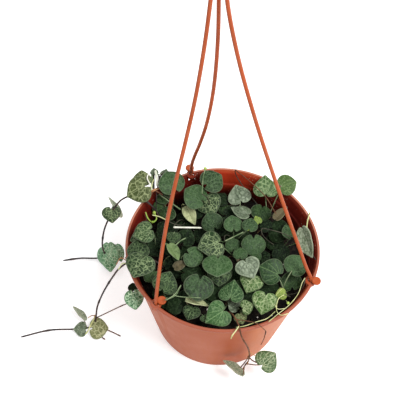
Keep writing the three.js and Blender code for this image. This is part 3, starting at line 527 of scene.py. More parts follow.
def make_inside():
    """Painted light and shade: red where light shines through the thin wall, brightest at the back,
    maroon painted shade lower down and at the sides, a painted highlight on the top edge, and
    specks of limescale.
    """
    finish = Finish("pot_inside", roughness=0.42, specular_ior_level=0.15)
    place = finish.place()
    x, y, z = [finish.part(place, axis) for axis in "XYZ"]
    clouds = finish.noise(place, INSIDE_CLOUDS, 3.0)
    lit = finish.slope(z + 0.006 * clouds, *LIT_WALL)
    behind = finish.slope(y, *LIT_BACK) * finish.slope(abs(x - LIT_BACK_MIDDLE), *LIT_BACK_HALF)
    front = finish.slope(y, *LIT_FRONT)
    edge = finish.slope(z, *LIT_EDGE)
    # Painted light through the back wall, and painted shade at the sides
    glow = finish.blend(behind, paint("#5e1710"), paint("#a8341b"))
    # Maroon painted shade lower down
    colour = finish.blend(lit, PAINTED_SHADE_MAROON, glow)
    warm = finish.slope(clouds, 0.4, 0.7) * (0.1 + 0.4 * lit)
    colour = finish.blend(warm, colour, paint("#6e2011"))
    # A painted highlight along the top edge, strongest at the front
    colour = finish.blend(edge * (0.15 + 0.3 * behind + 0.7 * front), colour, PLASTIC)
    specks = finish.slope(finish.noise(place, GRAIN, 2.0), 0.68, 0.72)
    specks = specks * finish.slope(clouds, 0.45, 0.55)
    finish.set(base_color=finish.blend(specks, colour, LIMESCALE))
    finish.bump(clouds, 0.2, SCRATCH_DEPTH)
    return finish


# %% The plastics
DUSTY = "#bb7355"
# where the painted light on the pot's right side starts, and where it is full
PAINTED_LIGHT_SIDE = (0.016, 0.026)  # metres
# where the rim top's painted reflection gives way to a darker red towards the front
PAINTED_REFLECTION_BACK = (0.03, -0.03)

# The outside's right side is painted paler, as painted light
pot_outside = make_plastic(
    "pot_outside", ("#a3532f", "#9a4826", "#a86440"), 0.25, 0.06, ("X", *PAINTED_LIGHT_SIDE, "#b96c46")
)
pot_rim = make_plastic("pot_rim", ("#974a2e", "#8e4127", "#a9684e"), 0.35, 0.2)
# The rim's flat top is painted pale pink, partly dust and partly a painted reflection of the white
# sky, most of all at the back
rim_top = make_plastic(
    "rim_top", ("#ad7059", "#a5634b", "#b9867a"), 0.4, 0.35, ("Y", *PAINTED_REFLECTION_BACK, "#914b35")
)
pot_inside = make_inside()
arm_plastic = make_plastic("arm_plastic", ("#a54a22", "#93401c", DUSTY), 0.25, 0.18)
barb_plastic = make_plastic("barb_plastic", ("#b96a48", "#a8542f", DUSTY), 0.5, 0.18)
plastics = [pot_outside, pot_rim, rim_top, pot_inside, arm_plastic, barb_plastic]
print("plastics:", ", ".join(one.material.name for one in plastics))


# %% Bars, blocks and cuts
def upright(radius, bottom, top, place, sides, edge=0.0):
    """A standing round bar, with a small bevel of the given size at both ends."""
    profile = [(0, bottom), (radius - edge, bottom), (radius, bottom + edge)]
    profile += [(radius, top - edge), (radius - edge, top), (0, top)]
    if not edge:
        profile = [(0, bottom), (radius, bottom), (radius, top), (0, top)]
    corners, faces = turned(profile, sides)
    return corners + [*place[:2], 0], faces


def block(size, centre, azimuth):
    """The corners and faces of a box, turned about the pot's axis by an angle in degrees."""
    corners = np.array([[i, j, k] for i in (-0.5, 0.5) for j in (-0.5, 0.5) for k in (-0.5, 0.5)])
    faces = [(0, 1, 3, 2), (4, 6, 7, 5), (0, 4, 5, 1), (2, 3, 7, 6), (0, 2, 6, 4), (1, 5, 7, 3)]
    return (corners * size + centre) @ around((0, 0, 1), radians(azimuth)).T, faces


def carve(target, shapes, operation):
    """Joins the shapes to a piece, or cuts them out of it."""
    for corners, faces in shapes:
        heap = Heap()
        heap.add(corners, faces, pot_rim)
        tool = heap.piece("tool")
        cut = target.modifiers.new("cut", "BOOLEAN")
        cut.object = tool
        cut.operation = operation
        cut.solver = "MANIFOLD"
        bpy.context.view_layer.objects.active = target
        bpy.ops.object.modifier_apply(modifier=cut.name)
        bpy.data.objects.remove(tool)


def soften(piece, angle):
    """Smooth shading that keeps edges sharper than an angle crisp."""
    piece.data.shade_smooth()
    piece.data.set_sharp_from_angle(angle=radians(angle))


# %% The pot's section
CORNER_STEPS = 5  # of each rounded corner
EAR_AZIMUTHS = {"left": 229.5, "right": 338, "back": 113}


def rounded(corner, before, after, radius, steps):
    """An arc that replaces a profile's corner."""
    corner = np.array(corner, float)
    ways = [end - corner for end in (before, after)]
    a, b = [corner + radius * way / np.linalg.norm(way) for way in ways]
    t = np.linspace(0, 1, steps + 1)[:, None]
    return ((1 - t) ** 2 * a + 2 * t * (1 - t) * corner + t**2 * b).tolist()


def round_profile(points):
    """The profile's points, where a third number is the radius that rounds that corner."""
    path = [points[0][:2]]
    for before, here, after in zip(points, points[1:], points[2:]):
        if len(here) == 3:
            path += rounded(here[:2], before[:2], after[:2], here[2], CORNER_STEPS)
        else:
            path.append(here)
    return path + [points[-1][:2]]


def pot_profile():
    """The pot's section, from the middle of its underside round the rim to the middle inside."""
    return round_profile([
        (0, FOOT_RECESS),
        (BASE_RADIUS - FOOT_RING - 1, FOOT_RECESS),
        (BASE_RADIUS - FOOT_RING, 0),
        (BASE_RADIUS - FOOT_TUCK, 0, 1.2),
        (outer_wall(LIP_BASE), LIP_BASE, 0.4),
        (RIM_RADIUS, LIP_BASE, EDGE),
        (RIM_RADIUS, POT_HEIGHT, 0.8),
        (RIM_RADIUS - RIM_FLAT, POT_HEIGHT, 0.3),
        (WALL_TOP - WALL, POT_HEIGHT - RIM_SLOPE, 0.5),
        (outer_wall(STEP_Z) - WALL, STEP_Z, 0.4),
        (*INNER_STEP, 0.4),
        (*INNER_FOOT, 1.5),
        (INNER_FOOT[0] - (FOOT_SLOPE - FLOOR), FLOOR, 1.5),
        (0, FLOOR),
    ])


print("points in the pot's section:", len(pot_profile()))

# %% Pot
POT_SIDES = 180
HOLE_SIDES = 32
PAST = 1  # a cutter goes this far past what it cuts
LOOKS_OUT = 0.3  # a face's normal, as a share of one that looks straight out
LOOKS_UP = 0.8
PART_LINE = 0.2  # how far the finishes reach over the line between them
FOOT_EDGE = 1.2
SHARP_POT = 28  # degrees
POT_FINISHES = [pot_outside, pot_rim, pot_inside, rim_top]


def towards(azimuth):
    """The level direction at an angle in degrees."""
    return np.array([cos(radians(azimuth)), sin(radians(azimuth)), 0])


def ear_point(azimuth, z):
    """The middle of an ear's eye, at a height."""
    return EAR_CIRCLE * towards(azimuth) + [0, 0, z]


def pot_finish(face):
    """The finish of one face of the pot, by where it lies and which way it looks."""
    x, y, z = face.center / MM
    radius = hypot(x, y)
    outwards = face.normal.x * x + face.normal.y * y
    if z < LIP_BASE + PART_LINE and (outwards > LOOKS_OUT * radius or z < FOOT_EDGE):
        return pot_outside
    if face.normal.z > LOOKS_UP and radius > RIM_RADIUS - RIM_FLAT - PART_LINE:
        return rim_top
    if radius > (RIM_RADIUS - EDGE if z > LIP_BASE else outer_wall(z)):
        return pot_rim
    return pot_inside


def make_pot():
    """The turned pot with ears and their eyes, windows in the wall behind them and drain holes."""
    heap = Heap()
    heap.add(*turned(pot_profile(), POT_SIDES), pot_rim)
    pot = heap.piece("hanging_pot")
    ear_base = POT_HEIGHT - EAR_HEIGHT
    window_size = (WINDOW_REACH, WINDOW_WIDTH, ear_base - WINDOW_FOOT)
    window_middle = EAR_CIRCLE - ARM_RADIUS - CLEARANCE + WINDOW_REACH / 2
    window_centre = (window_middle, 0, (ear_base + WINDOW_FOOT) / 2)
    windows, ears, eyes, drains = [], [], [], []
    for azimuth in EAR_AZIMUTHS.values():
        eye = ear_point(azimuth, 0)
        windows.append(block(window_size, window_centre, azimuth))
        ears.append(upright(EAR_RADIUS, ear_base, POT_HEIGHT, eye, HOLE_SIDES, EAR_BEVEL))
        eyes.append(upright(EYE_RADIUS, LIP_BASE - PAST, POT_HEIGHT + PAST, eye, HOLE_SIDES))
    for i in range(DRAIN_HOLES):
        turn = 2 * pi * (i + 0.5) / DRAIN_HOLES
        hole = (DRAIN_CIRCLE * cos(turn), DRAIN_CIRCLE * sin(turn))
        drains.append(upright(DRAIN_RADIUS, -PAST, FLOOR + PAST, hole, HOLE_SIDES))
    carve(pot, windows, "DIFFERENCE")
    carve(pot, ears, "UNION")
    carve(pot, eyes + drains, "DIFFERENCE")
    pot.data.materials.clear()
    for finish in POT_FINISHES:
        pot.data.materials.append(finish.material)
    for face in pot.data.polygons:
        face.material_index = POT_FINISHES.index(pot_finish(face))
    soften(pot, SHARP_POT)
    return pot


pot = make_pot()
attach(pot, "root")
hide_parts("pot")
print("pot:", len(pot.data.polygons), "faces")

# %% [markdown]
# ## The hanger
#
# Each arm is one moulded strip: a barb that snaps open under the ear, a straight foot through the
# eye, a round tab to pull it by, and a long rod that bends in to the hub. The hub carries a hook
# like a question mark. A moulded rod has a fine ridge where the mould's halves meet, which catches
# the light.

# %% Hanger sizes
HUB_CENTRE = (-13, 18)
HUB_BASE = 314
HUB_RADIUS = 6.5
HUB_HEIGHT = 10
HOOK_RADIUS = 1.9
TAB_RADIUS = 3
TAB_THICKNESS = 1.6
TAB_LIFT = 1.9
TAB_REACH = 3.8
NECK_RADIUS = 0.75
BARB_FOOT = 78.5
BARB_THICKNESS = 1.4
BARB = [(-0.9, 2.5), (0, 0), (3.4, 6), (2.5, 6.2), (0.9, 4)]
ARM_SOCKET_CIRCLE = 3.6
ARM_IN_HUB = 4
ARM_SHARES = [0.08, 0.16, 0.27, 0.4, 0.55, 0.7, 0.84, 0.94]
ARM_FOOT = [79.5, 84, 90]
ARMS = {  # where the finger tab points, and the two handles of the arm's bend
    "left": (20, (-35, -21, 201), (-20, -1, 189)),
    "right": (338, (43, -13, 129), (-16, 18, 268)),
    "back": (113, (-27, 40, 139), (-4, 15, 174)),
}
HOOK = [  # the hook's line: how far aside and how far over the hub's top
    (0, -2), (0, 5), (4, 10), (9.5, 16), (11, 23), (7, 31), (0, 34), (-7, 31), (-10.5, 24),
    (-9.5, 18),
]
print("the hook's line tops out at", HUB_BASE + HUB_HEIGHT + max(rise for _, rise in HOOK), "mm")


# %% Parts of an arm
ROD_SAMPLES = 110
ROD_SIDES = 16
NECK_POINTS, NECK_SIDES = 6, 12
TAB_SIDES = 40
ROD_SHARE = 1.06  # the fine rod's radius, as a share of the frame's
ROD_END = 0.8
RIDGE = 0.1
TAB_BEVEL = 0.45
SHARP_ARM = 32  # degrees


def arm_top(side, z):
    """The middle of an arm where it is in the hub, at a height."""
    return ARM_SOCKET_CIRCLE * towards(EAR_AZIMUTHS[side]) + [*HUB_CENTRE, z]


def ridged(corners, count, sides, height):
    """Raises two opposite corners of each ring of a tube, for the ridge that the mould leaves."""
    rings = corners[1:-1].reshape(count, sides, 3)
    out = rings - rings.mean(1, keepdims=True)
    share = np.zeros((1, sides, 1))
    share[0, [0, sides // 2], 0] = 1
    lengths = np.linalg.norm(out, axis=2, keepdims=True)
    corners[1:-1] = (rings + out / lengths * height * share).reshape(-1, 3)
    return corners


def rod(side, low, high):
    """The corners and faces of an arm's round rod, from the ear's underside into the hub."""
    ear = EAR_AZIMUTHS[side]
    handles = [ear_point(ear, POT_HEIGHT), np.array(low), np.array(high), arm_top(side, HUB_BASE)]
    knots = [ear_point(ear, z) for z in ARM_FOOT]
    knots += list(bezier(handles, ARM_SHARES))
    knots += [arm_top(side, HUB_BASE), arm_top(side, HUB_BASE + ARM_IN_HUB - CLEARANCE)]
    path = spline(knots, ROD_SAMPLES)
    corners, faces = tube(path, ROD_SHARE * ARM_RADIUS, ROD_SIDES, ROD_END)
    return ridged(corners, len(path), ROD_SIDES, RIDGE), faces


def barb(ear):
    """The corners and faces of the flat arrow that snaps open under an ear."""
    outwards = towards(ear)
    aside = np.array([-outwards[1], outwards[0], 0]) * BARB_THICKNESS / 2
    foot = ear_point(ear, BARB_FOOT)
    flat = [foot + out * outwards + np.array([0, 0, rise]) for out, rise in BARB]
    count = len(BARB)
    sides = [(i, i + count, (i + 1) % count + count, (i + 1) % count) for i in range(count)]
    faces = [tuple(range(count)), tuple(reversed(range(count, 2 * count)))] + sides
    return [point + aside for point in flat] + [point - aside for point in flat], faces


print("corners of a barb:", len(barb(0)[0]))


# %% Arms
def make_arm(side, tab, low, high):
    """One arm: its rod, the round tab on its short neck and the barb."""
    ear = EAR_AZIMUTHS[side]
    heap = Heap()
    heap.add(*rod(side, low, high), arm_plastic)
    foot = ear_point(ear, POT_HEIGHT + TAB_LIFT)
    end = foot + TAB_REACH * towards(tab)
    neck = np.linspace(foot, end, NECK_POINTS)
    heap.add(*tube(neck, NECK_RADIUS, NECK_SIDES), arm_plastic)
    under, over = end[2] - TAB_THICKNESS / 2, end[2] + TAB_THICKNESS / 2
    heap.add(*upright(TAB_RADIUS, under, over, end, TAB_SIDES, TAB_BEVEL), arm_plastic)
    heap.add(*barb(ear), barb_plastic)
    arm = heap.piece(f"arm_{side}")
    soften(arm, SHARP_ARM)
    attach(arm, "root")
    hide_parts(f"hanger_arm_{side}")


for side, shape in ARMS.items():
    make_arm(side, *shape)
print("arms:", list(ARMS))


# %% Hub and hook
HUB_SIDES = 64
HOOK_SIDES = 24
HUB_EDGE = 0.8
HUB_TAPER = (2.2, 3)  # across and down
HOOK_SAMPLES = 90
HOOK_SHARE = 0.95  # the fine hook's radius, as a share of the frame's
HOOK_END_STEPS = 3  # its last steps round off to a point


def make_hook():
    """The hub with a socket for each arm, and the hook on top of it."""
    x, y = HUB_CENTRE
    top = HUB_BASE + HUB_HEIGHT
    profile = round_profile([
        (0, HUB_BASE),
        (HUB_RADIUS, HUB_BASE, HUB_EDGE),
        (HUB_RADIUS, top - HUB_TAPER[1], HUB_EDGE),
        (HUB_RADIUS - HUB_TAPER[0], top, 1.2),
        (0, top),
    ])
    corners, faces = turned(profile, HUB_SIDES)
    heap = Heap()
    heap.add(corners + [x, y, 0], faces, arm_plastic)
    hook = heap.piece("hook")
    socket = (ARM_RADIUS + CLEARANCE, HUB_BASE - PAST, HUB_BASE + ARM_IN_HUB)
    carve(hook, [upright(*socket, arm_top(side, 0), HOOK_SIDES) for side in ARMS], "DIFFERENCE")
    path = spline([(x + out, y, top + rise) for out, rise in HOOK], HOOK_SAMPLES)
    steps_left = HOOK_SAMPLES + 0.5 - np.arange(HOOK_SAMPLES + 1)
    radii = HOOK_SHARE * HOOK_RADIUS * np.sqrt(np.clip(steps_left / HOOK_END_STEPS, 0, 1))
    carve(hook, [tube(path, radii, HOOK_SIDES)], "UNION")
    soften(hook, SHARP_ARM)
    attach(hook, "root")
    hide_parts("hanger_hook")
    return hook


hook = make_hook()
print("hub and hook:", len(hook.data.polygons), "faces")

# %% [markdown]
# ## The leaves' shapes
#
# A leaf is a thick heart. Young ones are long hearts with a point, and old ones are nearly round
# with a small notch. So one formula runs from round to heart-shaped, and a kind says how far it
# goes. Each leaf knows its centre and three directions: towards its tip, across, and out of its
# upper face.

# %% Kinds of leaf
SHAPE_WORDS = ("heart", "length", "notch", "dome", "keel")
SHAPES = {  # heart runs from 0, round, to 1, heart-shaped. The rest are shares of the width
    "plain fresh deep": (0.05, 0.94, 0.2, 0.05, 0),
    "dark shade": (0.15, 0.96, 0.2, 0.05, 0),
    "striped": (0.2, 0.98, 0.2, 0.05, 0),
    "net sage dusky": (0.35, 0.98, 0.2, 0.06, 0),
    "olive straw": (0.25, 0.95, 0.2, 0.06, 0),
    "bright moss": (0.5, 1, 0.2, 0.05, 0),
    "mint": (0.25, 1.15, 0.15, 0.05, 0),
    "veined": (0.65, 1.05, 0.2, 0.04, 0),
    "grey": (0.45, 0.95, 0.2, 0.03, 0),
    "lime": (0.35, 1.1, 0.2, 0.05, 0),
    "cream": (0.35, 1.9, 0.08, 0, 0.35),
    "brown": (0.35, 1.8, 0.08, 0, 0.3),
    "silver": (0.1, 1.75, 0.05, 0.05, 0),
    "folded celery": (0.2, 1.6, 0.08, 0, 0.25),
}
KINDS = {}
for kinds, shape in SHAPES.items():
    for kind in kinds.split():
        KINDS[kind] = dict(zip(SHAPE_WORDS, shape))
OUTLINE_STEPS = [0, 0.13, 0.34, 0.58, 0.82, 1]  # of the half turn from notch to tip
NOTCH_WIDTH = 0.28  # radians of that turn
TIP, TIP_WIDTH = 0.06, 0.25
ROUND_REACH = 0.46  # from a round leaf's middle to its ends, in widths
HEART_CURVE, HEART_SPAN = (13, -5, -2, -1), 32  # the classic heart curve's cosines, and its width
BLADE_THICKNESS = 0.8
SAMPLE_RINGS = (0.35, 0.7)  # where a blade is tested inside its outline
FACE_LIGHT = around((1, 0, 0), radians(20))  # every blade leans towards the light
print("kinds of leaf:", len(KINDS))


# %% The outline of a leaf
def outline_at(kind, turn, notch_width=NOTCH_WIDTH):
    """The half outline in shares of the width: from the notch at 0 to the tip at pi."""
    shape = KINDS[kind]
    turn = np.asarray(turn, float)
    notch = shape["notch"] * np.exp(-((turn / notch_width) ** 2))
    tip = TIP * np.exp(-(((pi - turn) / TIP_WIDTH) ** 2))
    classic = sum(part * np.cos((k + 1) * turn) for k, part in enumerate(HEART_CURVE))
    heart = shape["heart"]
    along = (1 - heart) * (-ROUND_REACH * np.cos(turn) + notch + tip) - heart * classic / HEART_SPAN
    across = 0.5 * ((1 - heart) * np.sin(turn) + heart * np.sin(turn) ** 3)
    return np.stack([along * shape["length"], across], -1)


def whole_outline(kind, steps, notch_width=NOTCH_WIDTH):
    """The outline from the notch round the tip and back."""
    half = outline_at(kind, np.asarray(steps) * pi, notch_width)
    return np.vstack([half, half[-2:0:-1] * [1, -1]])


plain_length = np.ptp(whole_outline("plain", OUTLINE_STEPS)[:, 0])
print("a plain leaf's length:", plain_length.round(2), "widths")


# %% A leaf in its place
class Leaf:
    """Where a leaf is and how it is turned. Its heading, lean and roll are in degrees."""

    def __init__(self, kind, centre, width, heading, lean, roll, tier=None):
        lean, roll = radians(lean), radians(roll)
        ahead = towards(heading)
        side = np.array([-ahead[1], ahead[0], 0])
        rise = np.array([0, 0, 1])
        out = ahead * sin(lean) + rise * cos(lean)
        self.kind, self.width, self.tier = kind, width, tier
        self.centre = np.array(centre, float)
        self.along = FACE_LIGHT @ (ahead * cos(lean) - rise * sin(lean))
        self.across = FACE_LIGHT @ (side * cos(roll) - out * sin(roll))
        self.normal = FACE_LIGHT @ (out * cos(roll) + side * sin(roll))
        self.dome, self.keel = KINDS[kind]["dome"], KINDS[kind]["keel"]
        self.reach = np.array([0.5 * width * KINDS[kind]["length"], 0.5 * width])

    def relief(self, u, v):
        """How far the upper face stands above the flat blade."""
        return -self.dome * 4 * (u * u + v * v) / self.width + self.keel * np.abs(v)

    def points(self, places, depth=0.0):
        """Points of the blade at (along, across) in millimetres, so deep under its upper face."""
        u, v = np.asarray(places, float).T
        ways = zip((u, v, self.relief(u, v) - depth), (self.along, self.across, self.normal))
        return sum((np.outer(far, way) for far, way in ways), self.centre)

    def notch(self, past=0.0, depth=0.0):
        """The point where the stalk meets the blade, or one a share of the width past it."""
        u = (outline_at(self.kind, 0)[0] + past) * self.width
        return self.points([[u, 0]], depth)[0]

    def samples(self):
        """Points all over the upper face."""
        loop = whole_outline(self.kind, OUTLINE_STEPS) * self.width
        rings = np.vstack([loop, (loop + np.roll(loop, -1, axis=0)) / 2])
        return self.points(np.vstack([[[0, 0]], *[share * rings for share in SAMPLE_RINGS], rings]))

    def height_over(self, points, margin):
        """How high points lie over the upper face, and nan outside the outline and its margin."""
        offset = points - self.centre
        u, v = offset @ self.along, offset @ self.across
        outside = (u / (self.reach[0] + margin)) ** 2 + (v / (self.reach[1] + margin)) ** 2 > 1
        return np.where(outside, np.nan, offset @ self.normal - self.relief(u, v))


# %% [markdown]
# ## Where each leaf grows
#
# The plant's frame was laid out stem by stem, and then settled by rule: each leaf climbs
# towards the light until it lies clear of the pot, the soil and the leaves below it. The same
# places and the same rule are used here, so that every fine leaf lies where its solid is. Each row
# gives a leaf's kind, its place in plan, its width, the heading of its tip, its tier and, where
# they aren't drawn, its lean and roll.

# %% Leafy stems at the back and on the left
LEAFY_STEMS = {
    "back_left": ([
        ("plain", -37, 54, 19, 120, 5),
        ("shade", -45, 33, 11, 200, 1),
        ("shade", -43, 41, 10, 300, 2),
    ], [(90, (-46, 44), (-38, 38), (-30, 32))]),
    "back": ([
        ("plain", -10, 58, 18, 40, 4),
        ("net", -11, 39, 18, 300, 2),
        ("plain", -20, 44, 19, 150, 3),
        ("dark", -3, 43, 12, 60, 1),
    ], [(88, (-16, 46), (-16, 60), (-15, 68))]),
    "back_grey": ([
        ("grey", 10, 47, 17, 110, 2),
        ("grey", 12, 34, 17, 162, 3, 0, -45),
        ("shade", 1, 34, 10, 90, 0),
    ], []),
    "back_right": ([
        ("moss", 28, 55, 18, 95, 3),
        ("shade", 26, 34, 15, 260, 1),
        ("fresh", 42, 59, 15.5, 20, 5),
        ("brown", 38, 33, 8, 50, 3, 0, 30),
    ], [(92, (6, 69), (16, 60), (27, 48), (35, 33))]),
    "left_back": ([
        ("shade", -39, 28, 12, 80, 2),
        ("cream", -24, 29, 9, 300, 2, 0, 0),
    ], [(88, (-38, 22), (-44, 25), (-49, 26)), (88, (-34, 17), (-15, 18))]),
    "left": ([
        ("net", -52, 13, 16, 200, 3),
        ("net", -56, 7, 12, 200, 2),
        ("dark", -43, 6, 13, 90, 0),
    ], [(86, (-54, 28), (-51.5, 22.5), (-48.5, 20), (-46, 23), (-48, 28))]),
    "left_front": ([
        ("net", -53, -12, 20, 250, 3),
        ("dusky", -55, -2, 15, 100, 2),
        ("shade", -46, -22, 13, 230, 1),
        ("olive", -35, -12, 10, 100, 0),
    ], []),
    "inner_left": ([
        ("dusky", -33, 10, 10, 270, 3),
        ("dark", -25, 9, 13, 60, 1),
        ("celery", -32.5, -1, 9, 305, 3, 0, 35),
        ("dark", -16, 11, 11, 20, 0),
    ], []),
}
print("stems at the back and on the left:", len(LEAFY_STEMS))

# %% Leafy stems in the middle and on the right
LEAFY_STEMS |= {
    "centre_back": ([
        ("plain", -8, 23, 15, 120, 3),
        ("plain", 6, 23, 13, 100, 3),
        ("plain", 17, 23, 11, 80, 4),
        ("lime", 23, 27, 6.5, 120, 3),
        ("dark", 14, 13, 11, 0, 0),
    ], [(89, (1, 9), (7, 13), (13, 17))]),
    "centre": ([
        ("net", -7, 6, 20, 200, 4),
        ("plain", 7, 5, 11, 100, 2),
        ("plain", 21, 7, 17, 275, 3),
        ("plain", 12, -1, 10, 90, 3),
        ("plain", 22, -2, 10, 60, 1),
    ], []),
    "centre_front": ([
        ("plain", -19, -5, 15, 330, 3),
        ("plain", -3, -9, 20, 270, 4, -25, 0),
        ("dusky", -1, -17, 17, 270, 2),
        ("brown", -28, -13, 6.5, 30, 2, 0, 0),
    ], []),
    "right_centre": ([
        ("grey", 17, -10, 17, 300, 4),
        ("bright", 20, -22, 16, 250, 3),
        ("bright", 28, -35, 17, 260, 4),
        ("dark", 27, -4, 13, 30, 0),
    ], []),
    "right": ([
        ("striped", 33, -13, 18, 160, 3),
        ("plain", 48, -7, 16, 60, 3),
        ("shade", 47, -21, 15, 100, 1),
        ("lime", 40, -30, 8, 200, 3),
    ], [
        (86, (40.5, -29), (37, -32), (35.5, -38), (36, -42), (38.5, -44), (43, -42.5)),
        (90, (54.5, -16), (52.5, -20), (50, -28), (44.5, -36.5), (36.5, -44.5), (31, -50)),
    ]),
    "right_back": ([
        ("plain", 45, 19, 12, 120, 2, 0, -30),
        ("folded", 54, 14, 15, 290, 3, 0, -58),
        ("dark", 36, 10, 15, 200, 0),
        ("dark", 40, 1, 13, 300, 1),
        ("dark", 29, 23, 10, 150, 1),
    ], [
        (90, (26, 21), (39, 18), (51, 12), (57, 6), (62, -2)),
        (88, (56, 21), (56.5, 28), (58.5, 36.5)),
    ]),
}
print("with those in the middle and on the right:", len(LEAFY_STEMS))

# %% Leafy stems at the front
LEAFY_STEMS |= {
    "front_left": ([
        ("dusky", -36, -27, 17, 70, 3),
        ("dark", -29, -44, 12, 200, 1),
        ("dark", -40, -36, 10, 120, 0),
    ], [(84, (-26, -29), (-29, -36), (-35, -40))]),
    "front": ([
        ("deep", -14, -27, 20, 265, 3),
        ("dark", -10, -37, 13, 200, 0),
        ("cream", -16, -40, 9.5, 350, 2, 0, 50),
        ("dusky", -18, -47, 12, 250, 1),
        ("dusky", -9, -51, 6.5, 300, 1),
    ], []),
    "front_hearts": ([
        ("veined", 7, -31, 17, 80, 3),
        ("veined", -1, -47, 18, 215, 3),
        ("dark", 7, -20, 12, 90, 0),
        ("dark", 13, -27, 10, 0, 1),
    ], []),
    "front_right": ([
        ("grey", 10, -41, 11, 150, 1),
        ("bright", 17, -41, 10, 20, 3),
        ("olive", 14, -50, 9, 290, 2),
    ], []),
}
hand_placed = sum(len(rows) for rows, _ in LEAFY_STEMS.values())
print("leafy stems:", len(LEAFY_STEMS), "with leaves placed by hand:", hand_placed)

# %% [markdown]
# A trailing stem is a list of points from its root to its tip, with side twigs and its own leaves.
# Their places are given outright, because a hanging stem lies over the rim and on the table.

# %% Trailing stems
TRAILING_STEMS = {
    "left_back": {
        "path": [
            (-42, 22, 63), (-42, 22, 70), (-47, 26, 85), (-55, 30, 91.5), (-63, 32, 93),
            (-70, 31, 90), (-75, 29, 84), (-79, 28, 74), (-84, 27, 58), (-87, 28, 38),
            (-88, 33, 20), (-88, 36, 8), (-93, 36.5, 2.5), (-107, 36, 1.3), (-120, 33, 1.3),
        ],
        "twigs": [[(-47, 26, 85), (-47, 38, 95), (-45, 46, 100), (-42, 52, 95.5)]],
        "leaves": [
            ("olive", -59, 34, 98, 19.5, 212, 5, 0),
            ("olive", -58, 44.5, 96, 13.5, 98, 0, 0),
            ("grey", -43, 50, 97, 7, 70, 0, 20),
            ("grey", -50, 49.5, 98, 6, 100, -20, 0),
            ("net", -78, 26, 79, 13.5, 280, 10, 0),
            ("folded", -76, 33, 75, 12, 123, 0, -68),
            ("silver", -84, 33.5, 12, 14, 278, 10, 0),
            ("silver", -78, 40, 8, 9, 292, 0, 0),
            ("silver", -89.5, 36, 8.5, 8.5, 275, 0, 0),
        ],
    },
    "left": {
        "path": [
            (-38, -12, 63), (-38, -12, 70), (-45, -14, 85), (-54, -17.5, 91), (-61, -20.5, 91.5),
            (-67, -23.5, 87.5), (-71, -25, 80), (-76, -24.5, 66), (-81, -22.5, 48),
            (-85.5, -20.5, 28), (-87.5, -20.5, 12), (-89, -22, 4), (-95, -24, 2),
            (-103, -25, 1.4), (-121, -27, 1.3), (-141, -34, 1.3),
        ],
        "twigs": [
            [
                (-87.5, -20.5, 12), (-78, -20.5, 22), (-68, -22, 35), (-63, -26, 47),
                (-62.5, -28, 60), (-62, -30, 68),
            ],
            [(-89, -22, 4), (-78, -25, 2.5), (-69, -28.5, 1.6)],
            [(-89, -22, 4), (-84, -29, 2), (-80, -32, 1.5)],
        ],
        "leaves": [
            ("straw", -86, -26, 7, 16, 5, 0, 0),
            ("grey", -98, -26.5, 5, 11.5, 184, 0, 0),
            ("folded", -99.5, -16.5, 9, 10, 136, 0, -65),
            ("mint", -56.5, -35.5, 71, 13, 282, 10, 0),
            ("dark", -58.5, -24.5, 66, 7, 96, 0, 0),
        ],
    },
    "front": {
        "path": [
            (5, -42, 63), (5, -42, 70), (7.5, -49, 83), (10.5, -57, 90.3), (12.5, -62, 91),
            (14, -66.5, 88.5), (16, -67.5, 83), (18.5, -66, 74), (21, -61, 57), (22.5, -57.5, 43),
            (23, -56.5, 37),
        ],
        "twigs": [
            [(12.5, -62, 91), (10.5, -65.5, 91), (8.5, -68, 89), (8, -68.5, 86)],
            [
                (10.5, -57, 90.3), (23, -60, 92.5), (27.5, -62.5, 91), (29.5, -61.5, 86),
                (31, -55, 70), (31.4, -48.5, 53),
            ],
            [(22.5, -57, 42), (22.4, -58.2, 36), (20.8, -58.6, 30.4), (19, -60.5, 26)],
        ],
        "leaves": [
            ("sage", 35, -55, 30, 17, 45, 0, 0),
            ("folded", 14, -58.5, 22, 12.5, 146, 0, -58),
        ],
    },
}
print("leaves on trailing stems:", sum(len(parts["leaves"]) for parts in TRAILING_STEMS.values()))

# %% [markdown]
# ## Settling the plant
#
# Low dark leaves, whose near-black skin is painted shade, fill every gap that would show bare
# soil. Then the tiers settle from the lowest up. Numpy tests a leaf against all the others at once,
# which keeps this to a few seconds.

# %% How a plant is laid out
DRAW_FACTOR, DRAW_PRIME = 16807, 2**31 - 1
LEAF_HEIGHT = 80  # the height at which the rows' places hold
LIGHT = np.array([0, -0.711, 1])  # the way that leaves climb


def draws(seed):
    """Gives a function that draws repeatable numbers, each from a factor and a remainder."""
    state = seed

    def draw(low, high):
        nonlocal state
        state = state * DRAW_FACTOR % DRAW_PRIME
        return low + (high - low) * state / DRAW_PRIME

    return draw


def slide_to(x, y, z):
    """A place in plan at the leaves' usual height, moved along the light to another height."""
    return np.array([x, y, LEAF_HEIGHT]) + LIGHT * (z - LEAF_HEIGHT)


class Stem:
    """A stem with its leaves, its bare shoots, its root and the curves of its stalks."""

    def __init__(self, name, trailing, leaves, bare, root=None):
        self.name, self.trailing, self.root = name, trailing, root
        self.leaves, self.bare, self.bends, self.sticks = leaves, bare, [], []


# %% Low leaves
UNDERGROWTH_TRIES = 60
UNDERGROWTH_CENTRE = (0, -6)
UNDERGROWTH_REACH = 49
UNDERGROWTH_FRONT = -50
UNDERGROWTH_WIDTH = (14, 18)
UNDERGROWTH_SHIFT = (-1.5, 1.5)
COVERED_SHARE = 0.42  # of a leaf's width, within which its place is taken
GOLDEN_TURN = 2.4  # radians: steps of this turn fill a disc evenly


